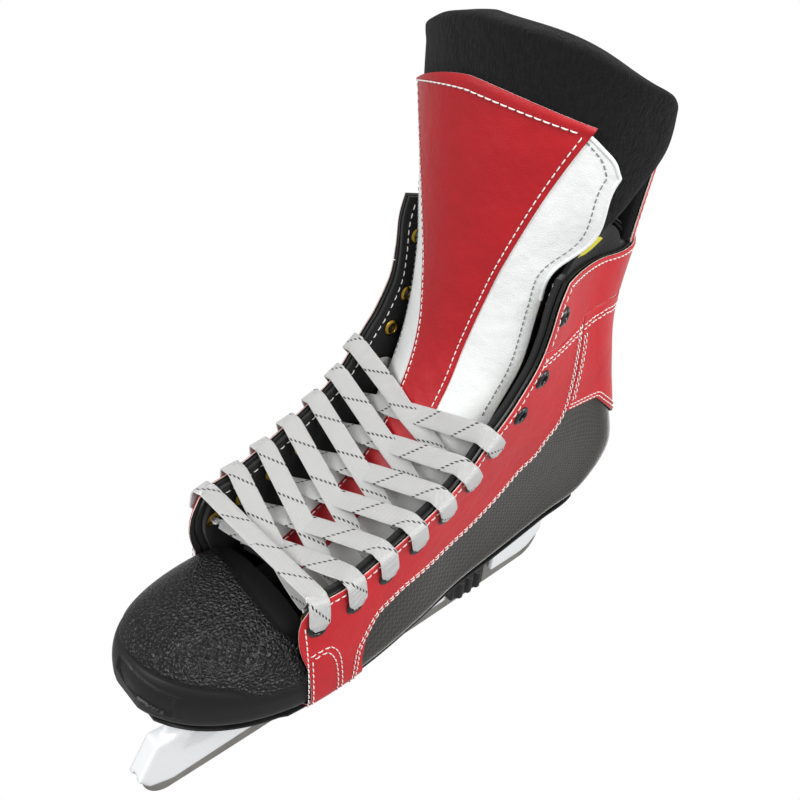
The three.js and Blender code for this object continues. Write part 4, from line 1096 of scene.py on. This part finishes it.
def red_piece():
    k1 = float(tongue_row(323))
    surface = tongue_sheet(0, k1, lambda k: -red_half(k), red_half, FACE_DROP)

    def high(t, s):
        # A fold runs along the top where the panel is turned over.
        k = t * k1
        return 2.0 + 0.5 * smooth((k - tongue_row(317)) / 0.05) * smooth((tongue_row(322.4) - k) / 0.05)

    obj = slab("tongue_panel_look", surface, (200, 60), (270, 70), 1.0, high,
               [SHADED_TONGUE_RED, WHITE, SHADED_TONGUE_RED], 0.5, body=None, slot="red_leather")
    bent(obj)
    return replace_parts(obj, "tongue_face_lower", "tongue_face_upper")


skin_piece()
red_piece()


def tongue_line(k, y, out):
    k, y = np.broadcast_arrays(np.asarray(k, float), np.asarray(y, float))
    p, n = tongue_at(k, y)
    p[..., 2] -= top_drop(k, y, half_width(k), FACE_DROP, 2, 33)
    return p + n * out, n


def cord_ring(name, lines, radius, material, body="boot", **kw):
    parts = []
    for p, n in lines:
        parts.append(tube(p, radius, 10, n))
    points, faces = join(parts)
    return mesh(name, points, faces, [material], body=body, crease=50, **kw)


k_side = np.linspace(0.1, FACE_TOP - 0.25, 260)
rows_red = [tongue_line(k_side, s * (red_half(k_side) - 2.2), 2.05) for s in (1, -1)]
rows_white = [tongue_line(k_side[110:], s * (face_half(k_side[110:]) - 3.3), 1.2) for s in (1, -1)]
hem_y = np.linspace(-42, 42, 120)
obj = stitches("tongue_seam_look", rows_red, THREAD, body=None, both=False, length=2.5,
               gap=0.9, radius=0.28)
bent(obj)
obj = stitches("tongue_edge_seam_look", rows_white, GREY_THREAD, body=None, both=False,
               length=2.1, gap=0.9, radius=0.24)
bent(obj)
obj = stitches("tongue_hem_seam_look", [tongue_line(float(tongue_row(317.6)), hem_y, 2.6)], THREAD,
               body=None, both=False, length=2.8, gap=0.7, radius=0.34)
bent(obj)
# The white skin's bound edge, a flat roll round its outline.
k_bind = np.linspace(7.2, FACE_TOP - 0.02, 220)
obj = cord_ring("tongue_binding_look", [tongue_line(k_bind, face_half(k_bind) - 0.3, 0.7),
                                        tongue_line(k_bind, -(face_half(k_bind) - 0.3), 0.7)],
                0.95, WHITE, body=None)
bent(obj)


# Tendon guard.
GUARD_BASE, GUARD_HEIGHT, GUARD_HALF, GUARD_DEPTH = 241.3, 55.7, 36.5, 44


def guard_surface(t, v):
    h = t - 0.2 * t**5 * (2 * v - 1) ** 4
    a = (2 * v - 1) * lerp(1.02, 0.83, h)
    depth, width = GUARD_DEPTH - 8 * h, GUARD_HALF - 5 * h
    back = 9.3 - 13 * h**1.2
    p = np.stack([back + depth * (1 - np.cos(a)), width * np.sin(a), GUARD_BASE + GUARD_HEIGHT * h], -1)
    return p, unit(np.stack([-np.cos(a) / depth, np.sin(a) / width, 0 * a], -1))


guard = slab("tendon_guard_look", guard_surface, (50, 70), (56, 74), 0.0, 1.6, [RED, RAW, LINING_CLOTH],
             0.6, body="guard", slot="red_leather")
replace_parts(guard, "tendon_guard")


def guard_low(t, s):
    rim = np.minimum(np.minimum(t, 1 - t) * 56, np.minimum(s, 1 - s) * 74)
    return -0.6 - 5 * (0.35 + 0.65 * np.sqrt(np.clip(rim / 7, 0, 1)))


pad = slab("tendon_guard_pad_look", guard_surface, (50, 70), (56, 74), guard_low, -0.3,
           [LINING_CLOTH, LINING_CLOTH, LINING_CLOTH], 0.8, body="guard", slot="lining")
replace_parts(pad, "tendon_guard_lining")

guard_t = np.linspace(0.03, 0.955, 70)
edge_v = 0.038
g1 = guard_surface(guard_t, np.full(70, edge_v))
g2 = guard_surface(guard_t, np.full(70, 1 - edge_v))
g3 = guard_surface(np.full(90, 0.955), np.linspace(edge_v, 1 - edge_v, 90))
stitches("guard_seam_look", [(p + n * 1.65, n) for p, n in (g1, g2, g3)], THREAD, body="guard",
         both=False, length=2.4, gap=0.9, radius=0.3)

# Eyelets.
def eyelet_set(side, word):
    for i, (u, p, n) in enumerate(ROWS):
        p, n = p * [1, side, 1], n * [1, side, 1]
        top = LEATHER_TOP + 0.3
        low = LINER_BOTTOM - 0.6
        r0, r1, r2 = BORE, BORE + EYELET_WALL, FLANGE_R
        flange = [(r0, low + 2), (r0, top + 0.2), (r0 + 0.15, top + 0.55), (r0 + 0.5, top + 0.85),
                  (r0 + 1.0, top + 0.9), (r2 - 0.9, top + 0.62), (r2 - 0.25, top + 0.28), (r2, top - 0.1),
                  (r2, top - 0.28), (r1, top - 0.28), (r1, low + 2)]
        points, faces = lathe(flange, p, n)
        black = mesh(f"eyelet_{i + 1}_{word}_look", points, faces, [FLANGE], slot="eyelet_black")
        ring = [(r0, low + 2), (r1, low + 2), (r1, low + 0.15), (r2 - 0.9, low + 0.1), (r2 - 0.6, low - 0.15),
                (r2 - 1.0, low - 0.45), (r1 + 0.2, low - 0.75), (r0 + 0.3, low - 0.7), (r0, low - 0.35)]
        points, faces = lathe(ring, p, n)
        brass = mesh(f"eyelet_ring_{i + 1}_{word}_look", points, faces, [BRASS], slot="eyelet_black")
        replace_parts(black, f"eyelet_{i + 1}_{word}")


for side, word in SIDES:
    eyelet_set(side, word)

# Lace.
OVER = LEATHER_TOP + 0.3 + 0.8 + 0.3 + 0.6
UNDER = LINER_BOTTOM - 0.6 - 0.8 - 0.6
WIDE, THICK, PINCH = 9.5, 1.2, 3.0
FLIP = np.array([1.0, -1, 1])


def knot(p, n, w=WIDE, h=THICK):
    return np.concatenate([p, n, [w, h]])


def turned(knots, flip):
    return [np.concatenate([k[:3] * flip, k[3:6] * flip, k[6:]]) for k in knots]


def edge_at(u):
    p, n = wall(u, 1.0)
    return p, n, unit(p - wall_point(u, 0.97))


HINGE_ROW = float(tongue_row(206))
LIFT_K = np.arange(0, HINGE_ROW, 0.05)


def lifted(p):
    q, n = tongue_at(LIFT_K, np.clip(p[1], -36, 36))
    best = np.argmin(np.linalg.norm(q - p, axis=-1))
    height = np.dot(p - q[best], n[best])
    return p + n[best] * max(0, 3.7 - height), n[best]


def entering(row):
    u, p, n = row
    e, en, up = edge_at(u)

    def at(rise, out):
        return p + up * rise + n * out

    def over(rise, out):
        return e + up * rise + n * out

    return [
        knot(over(2.6, LINER_BOTTOM * 0.7), up),
        knot(over(2.6, LEATHER_TOP * 0.4), unit(up + n * 0.4)),
        knot(over(1.2, LEATHER_TOP + 1.8), unit(up + n)),
        knot(at(5.5, OVER + 0.5), n),
        knot(at(3.4, OVER + 0.2), n, WIDE * 0.86, THICK * 1.1),
        knot(at(1.3, OVER - 0.1), unit(n - up * 0.5), WIDE * 0.52, THICK * 1.5),
        knot(at(0.4, OVER - 1.0), unit(n - up), PINCH * 1.15, THICK * 1.6),
        knot(at(0, LEATHER_TOP - 0.4), -up, PINCH * 0.95, THICK * 1.3),
        knot(at(0, UNDER), -up, PINCH * 0.95, THICK * 1.3),
    ]


def crossing(source, goal_row, sign):
    start = source[1] + source[2] * (UNDER - 3.4)
    goal = entering(goal_row)[0][:3]
    start, goal = (start * FLIP, goal) if sign < 0 else (start, goal * FLIP)
    knots = []
    for t in (0.08, 0.26, 0.44, 0.6, 0.76, 0.9):
        q, n = lifted(lerp(start, goal, t))
        over = math.exp(-((q[1] / 15) ** 2))
        q = q + n * over * (0.75 if sign > 0 else -0.65)
        face = unit(lerp(n, edge_at(goal_row[0])[2], 0.5))
        face[1] = 0
        knots.append(knot(q, unit(face), lerp(WIDE * 0.6, WIDE, float(smooth(t * 3)))))
    return knots


SECTION = [(1.0, 0.0), (0.985, 0.6), (0.93, 0.92), (0.5, 1.0), (0.0, 1.0), (-0.5, 1.0), (-0.93, 0.92),
           (-0.985, 0.6), (-1.0, 0.0), (-0.985, -0.6), (-0.93, -0.92), (-0.5, -1.0), (0.0, -1.0),
           (0.5, -1.0), (0.93, -0.92), (0.985, -0.6)]


def ribbon(knots, steps=14, start=0.0):
    """Points, faces and UVs of a flat braid through its knots."""
    rows = np.array(knots)
    count = (len(knots) - 1) * steps
    k = np.linspace(0, len(knots) - 1, count + 1)
    here = between(rows, k)
    e = 0.02
    along = unit(between(rows, k + e)[:, :3] - between(rows, np.maximum(k - e, 0))[:, :3])
    across = unit(np.cross(along, here[:, 3:6]))
    for i in range(1, len(across)):
        if np.dot(across[i], across[i - 1]) < 0:
            across[i] *= -1
    thick = np.cross(across, along)
    d = walked(here[:, :3])
    sec = np.array(SECTION)
    w, h = here[:, 6] / 2, here[:, 7] / 2
    flex = 0.18 * np.sin(d / 7.0)[:, None] * sec[None, :, 0] ** 2
    points = (here[:, None, :3] + across[:, None] * (w[:, None] * sec[None, :, 0])[..., None]
              + thick[:, None] * (h[:, None] * sec[None, :, 1] * 0.92 + flex * 0.6)[..., None])
    uv = np.stack(np.broadcast_arrays(d[:, None] + start, WIDE / 2 * sec[None, :, 0]), -1) / 1000
    sides = len(sec)
    return points.reshape(-1, 3), prism(count, sides), uv.reshape(-1, 2), here[:, :3]


def lace_half(sign):
    def turn(knots, s):
        return knots if s > 0 else turned(knots, FLIP)

    first = entering(ROWS[0])
    middle = first[0][:3].copy()
    middle[1] = 0
    middle[2] -= 1
    quarter_way = lerp(first[0][:3], middle, 0.5)
    parts = [ribbon(turn([knot(middle, first[0][3:6]), knot(quarter_way, first[0][3:6]), *first], sign),
                    start=100 if sign > 0 else 109)]
    s = sign
    for i in range(LACED - 1):
        bore = turn(entering(ROWS[i])[-1:], s)[0].copy()
        bore[:3] += (ROWS[i][2] * (FLIP if s < 0 else 1)) * 1.0
        over = turn(entering(ROWS[i + 1]), -s)
        parts.append(ribbon([bore, *crossing(ROWS[i], ROWS[i + 1], s), *over],
                            start=37.0 * i + (5 if sign > 0 else 14)))
        s = -s
    return parts


parts = lace_half(1) + lace_half(-1)
points, faces = join([(p, f) for p, f, _, _ in parts])
lace = mesh("lace_look", points, faces, [LACE], uv=np.concatenate([uv for _, _, uv, _ in parts]),
            slot="lace_cotton", crease=60)
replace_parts(lace, "lace")

# Lace ends hang inside the boot, each with a tip.
TAIL = [[113, 166], [108, 157], [102, 146], [97, 135], [92, 124], [88, 113]]
u, p, n = ROWS[LACED - 1]
tail = [knot(p + n * (UNDER - 1.2), np.array([0, 1.0, 0]), PINCH)]
for x, z in TAIL:
    p, n = wall(*locate(x, z))
    tail.append(knot(p + n * (LINER_BOTTOM - 1.2), n, WIDE * 0.8))
tail_end = tail[-1][:3]
tail_way = unit(tail_end - tail[-2][:3])
tip_start = tail_end + tail_way * 0.3
tip_start[1] -= 1
for side, word in SIDES:
    flip = np.array([1.0, side, 1])
    points, faces, uv, line = ribbon(turned(tail, flip), 12, 60)
    rope = mesh(f"lace_tail_{word}_look", points, faces, [LACE], uv=uv, slot="lace_cotton", crease=60)
    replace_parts(rope, f"lace_tail_{word}")
    profile = [(0.01, 0), (1.3, 0), (1.6, 0.5), (1.6, 12.8), (1.35, 13.6), (0.7, 14), (0.01, 14)]
    points, faces = lathe(profile, tip_start * flip, tail_way * flip, 24)
    tip = mesh(f"lace_tip_{word}_look", points, faces, [TIP], slot="lace_plastic")
    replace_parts(tip, f"lace_tip_{word}")
    length = walked(line)[-1] / 1000


# Collar of the lining, above the cuff between the tongue and the tendon guard.
def collar_surface(t, s):
    q = lerp(-0.27, 0.86, t)
    rise = 14 * smooth(t / 0.3) ** 0.6 * smooth((1 - t) / 0.22) ** 0.7 + 0.5
    p, n = wall(13.0 + 0 * q, q)
    below, _ = wall(12.7 + 0 * q, q)
    up = unit(p - below)
    h = lerp(-7.0, rise, s)
    out = -2.4 - 0.8 * np.cos(np.clip(h / 15, 0, 1) * np.pi) + 0.6
    return p + up * h[..., None] + n * np.where(h > 0, out, -2.4)[..., None], n


def accent_surface(t, v):
    tt = lerp(0.36, 0.83, t)
    wide = 0.17 * np.sin(np.pi * np.clip(t, 0, 1)) ** 0.8 * (1 - 0.25 * t)
    s = 0.72 + (2 * v - 1) * wide - 0.10 * t
    return collar_surface(tt, s)


for side, word in SIDES:
    collar = slab(f"collar_{word}_look", collar_surface, (90, 30), (80, 22), -2.2, 0.0,
                  [LINING_CLOTH, LINING_CLOTH, LINING_CLOTH], 1.1, side, slot="lining")
    slab(f"collar_accent_{word}_look", accent_surface, (50, 10), (38, 5), -0.2, 0.28,
         [YELLOW, YELLOW, YELLOW], 0.15, side, slot="lining")

# Stitching on the leather.
TOP = LEATHER_TOP + 0.08


def throat_line(u, depth, out):
    s = between(LAST, u)
    span = np.hypot(s[:, 0] - s[:, 2], s[:, 1] - s[:, 3])
    return wall_line(u, 1 - depth / (span - s[:, 6]), out)


def curve_line(curve, start, stop, amount, out=TOP, count=400):
    t = np.linspace(start, stop, count)
    u, q = curve(t)
    return inset(wall_line(u, np.maximum(q, -0.995), out), amount)


facing_seams = [throat_line(np.linspace(0.75, BAND_FRONT - 0.1, 500), 2.4, TOP)]
for amount in (1.6, 3.6):
    facing_seams.append(curve_line(facing_lower, 4.2 / 24, 0.995, amount))
facing_seams += [
    side_line([(222.6, 122), (222.3, 100), (222.4, 72)], TOP, 120),
    side_line([(220.2, 101.5), (220.0, 88), (219.8, 72)], TOP, 120),
    side_line([(221.5, 104.5), (212, 105.5), (206.8, 98), (204.8, 86), (204, 72)], TOP, 160),
    side_line([(219.5, 102.3), (213.2, 102.8), (209.1, 96), (207.2, 86), (206.4, 72)], TOP, 160),
    side_line([(102.2, 212), (80, 212.3), (66.5, 212.6)], TOP, 120),
    side_line([(102.2, 209.2), (80, 209.5), (66.5, 209.8)], TOP, 120),
]
stitches("facing_seams_look", facing_seams, THREAD, length=2.5, gap=0.85, radius=0.3)
ankle_seams = [curve_line(ankle_lower, 0.01, 0.97, a) for a in (1.6, 3.6)]
ankle_seams += [
    side_line([(61.8, 168), (60.8, 190), (62.4, 206.5)], TOP, 120),
    side_line([(59.6, 168), (58.6, 190), (60.2, 206.5)], TOP, 120),
    inset(curve_line(ankle_upper, 0.01, 0.97, 0), -4.5),
    inset(curve_line(ankle_upper, 0.01, 0.97, 0), -7.0),
]
stitches("ankle_seams_look", ankle_seams, THREAD, length=2.5, gap=0.85, radius=0.3)
q_top = np.linspace(0.93, -0.985, 300)
long_ = np.linalg.norm(wall(13.0 + 0 * q_top, q_top)[0] - wall(12.0 + 0 * q_top, q_top)[0], axis=-1)
u_edge = np.linspace(BAND_FRONT + 0.25, 12.75, 100)
band_seams = [wall_line(13 - 3.0 / long_, q_top, TOP), throat_line(u_edge, 2.6, TOP)]
stitches("band_seams_look", band_seams, THREAD, length=2.5, gap=0.85, radius=0.3)

# White stitches round the inside of the lining's edge.
line, normal = throat_line(np.linspace(0.6, 12.7, 700), 3.2, LINER_BOTTOM - 0.05)
stitches("lining_seams_look", [(line, -normal)], THREAD, length=2.6, gap=1.5, radius=0.27)

# Blade holder and trigger: the CAD shapes with rounded edges.
def soften(node, voxel, rounds, material):
    obj = NODES[node]
    obj.data.materials.clear()
    obj.data.materials.append(material)
    grid = obj.modifiers.new("rounding", "REMESH")
    grid.mode, grid.voxel_size, grid.use_smooth_shade = "VOXEL", voxel, True
    relax = obj.modifiers.new("relax", "SMOOTH")
    relax.factor, relax.iterations = 0.5, rounds
    return obj


soften("blade_holder", 0.0009, 9, HOLDER)
soften("release_trigger", 0.0005, 5, TRIGGER)


# Return spring, which in the skate shortens as the trigger comes back against it; here a coil built at one
# fixed length.
turn = np.linspace(0, 4 * 2 * np.pi, 145)
SPRING_X, SPRING_Z, SPRING_LENGTH, SPRING_RADIUS, SPRING_WIRE = 50.375, 27.75, 10.95, 1.1, 0.4
path = np.stack([np.linspace(SPRING_X + SPRING_WIRE, SPRING_X + SPRING_LENGTH - SPRING_WIRE, len(turn)),
                 SPRING_RADIUS * np.cos(turn), SPRING_Z + SPRING_RADIUS * np.sin(turn)], -1)
points, faces = tube(path, SPRING_WIRE, sides=12)
coil = mesh("trigger_spring_look", points, faces, [STEEL], slot="spring_steel")
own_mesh(coil)
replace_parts(coil, "trigger_spring")

# Runner.
REAR_X, LENGTH, HEIGHT, FLAT, ROCKER = 5, 279, 25, 14, 3000
FRONT_X, MIDDLE_X = REAR_X + LENGTH, REAR_X + LENGTH / 2


def runner():
    def low(x):
        return np.maximum(0, np.abs(x - MIDDLE_X) - FLAT / 2) ** 2 / (2 * ROCKER)

    a, b = REAR_X + 14, FRONT_X - 14
    x = np.linspace(a, b, 121)
    line = [np.stack([x, low(x)], -1)]
    t = np.linspace(0, np.pi / 2, 25)[1:]
    line.append(np.stack([b + (FRONT_X - b) * np.sin(t), low(b) + (HEIGHT - 6) * (1 - np.cos(t))], -1))
    line.append(np.array([[FRONT_X - 0.4, HEIGHT - 2], [FRONT_X - 2, HEIGHT], [REAR_X + 4, HEIGHT],
                          [REAR_X + 1.6, HEIGHT - 3]]))
    t = t[::-1]
    line.append(np.stack([a - (a - REAR_X) * np.sin(t), low(a) + (HEIGHT - 10) * (1 - np.cos(t))], -1))
    line = np.concatenate(line)
    way = unit(np.roll(line, -1, 0) - np.roll(line, 1, 0))
    inward = np.stack([-way[:, 1], way[:, 0]], -1)
    rings = []
    for y, c in ((-1.5, 0.25), (-1.42, 0.08), (-1.25, 0), (-0.6, -0.0), (0, 0), (0.6, 0), (1.25, 0),
                 (1.42, 0.08), (1.5, 0.25)):
        hollow = 0.12 * (1 - (y / 1.5) ** 2)
        xz = line + inward * (c + hollow * (line[:, 1:] < 6))
        rings.append(np.stack([xz[:, 0], y + 0 * xz[:, 0], xz[:, 1]], -1))
    rings = np.array(rings)
    wide = rings.shape[1]
    faces = grid_faces(len(rings) - 1, wide, wrap=True).tolist()
    total = len(rings) * wide
    faces += [list(range(wide))[::-1], list(range(total - wide, total))]
    index = [0] * len(faces)
    for k, f in enumerate(faces[:-2]):
        if rings.reshape(-1, 3)[f, 2].max() < 9:
            index[k] = 1
    points = rings.reshape(-1, 3)
    v = points[faces[0]]
    if np.dot(np.cross(v[1] - v[0], v[2] - v[0]), [0, 0, -1]) < 0:
        faces = [f[::-1] for f in faces]
    obj = mesh("runner_look", points, faces, [STEEL, GROUND], body="blade", index=index, crease=30,
               slot="steel")
    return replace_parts(obj, "runner")


runner()

# Rivets and the trigger's pin.
PLACES = [(256, 12), (256, -15), (222, 20), (222, -20), (188, 20), (188, -20), (84, 17), (84, -17),
          (36, 12), (36, -12)]
RIVET_BELOW, RIVET_ABOVE = 7.6, 5.9
for i, (x, y) in enumerate(PLACES):
    base = float(sole_height(x)[0])
    low = base - RIVET_BELOW
    length = RIVET_ABOVE + RIVET_BELOW
    profile = [(0.01, 0.0), (1.2, -0.02), (2.3, 0.1), (3.1, 0.35), (3.5, 0.75), (3.5, 1.15), (3.4, 1.2),
               (2, 1.2), (2, length - 0.3), (1.7, length), (0.01, length)]
    points, faces = lathe(profile, np.array([x, y, low], float), np.array([0, 0, 1.0]), 28)
    obj = mesh(f"rivet_{i + 1}_look", points, faces, [COPPER], slot="rivet_copper")
    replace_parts(obj, f"rivet_{i + 1}")
profile = [(0.01, 0), (1.1, 0), (1.5, 0.4), (1.5, 13.6), (1.1, 14), (0.01, 14)]
points, faces = lathe(profile, np.array([75, -7, 31.9]), np.array([0, 1.0, 0]), 28)
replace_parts(mesh("trigger_pin_look", points, faces, [STEEL], slot="spring_steel"), "trigger_pin")

# Light: a white studio, with softboxes for the gloss.
world = bpy.data.worlds.new("studio")
scene.world = world
world.use_nodes = True
sky = world.node_tree
ways = sky.nodes.new("ShaderNodeTexCoord")
toward = sky.nodes.new("ShaderNodeVectorMath")
toward.operation = "DOT_PRODUCT"
toward.inputs[1].default_value = ahead
fade = sky.nodes.new("ShaderNodeMapRange")
fade.interpolation_type = "SMOOTHSTEP"
for key, number in zip(("From Min", "From Max", "To Min", "To Max"), (0.76, 0.85, 0.42, 1.0)):
    fade.inputs[key].default_value = number
sky.nodes["Background"].inputs["Color"].default_value = (1, 1, 1, 1)
sky.links.new(ways.outputs["Generated"], toward.inputs[0])
sky.links.new(toward.outputs["Value"], fade.inputs["Value"])
sky.links.new(fade.outputs[0], sky.nodes["Background"].inputs["Strength"])
scene.view_settings.view_transform = "Standard"


def softbox(name, at, aim, size, power):
    data = bpy.data.lights.new(name, "AREA")
    data.shape, data.size, data.size_y, data.energy = "RECTANGLE", size[0], size[1], power
    lamp = bpy.data.objects.new(name, data)
    lamp.location = at
    lamp.rotation_euler = (Vector(aim) - Vector(at)).to_track_quat("-Z", "Y").to_euler()
    scene.collection.objects.link(lamp)
    return lamp


softbox("key", (0.1, 0.85, 0.9), (0, 0, 0.1), (0.7, 0.5), 12)
softbox("window", (-0.75, 0.75, 0.35), (0, 0, 0.05), (0.3, 0.6), 3)
softbox("front", (0.9, -0.25, 0.8), (0, 0, 0.1), (0.5, 0.5), 8)
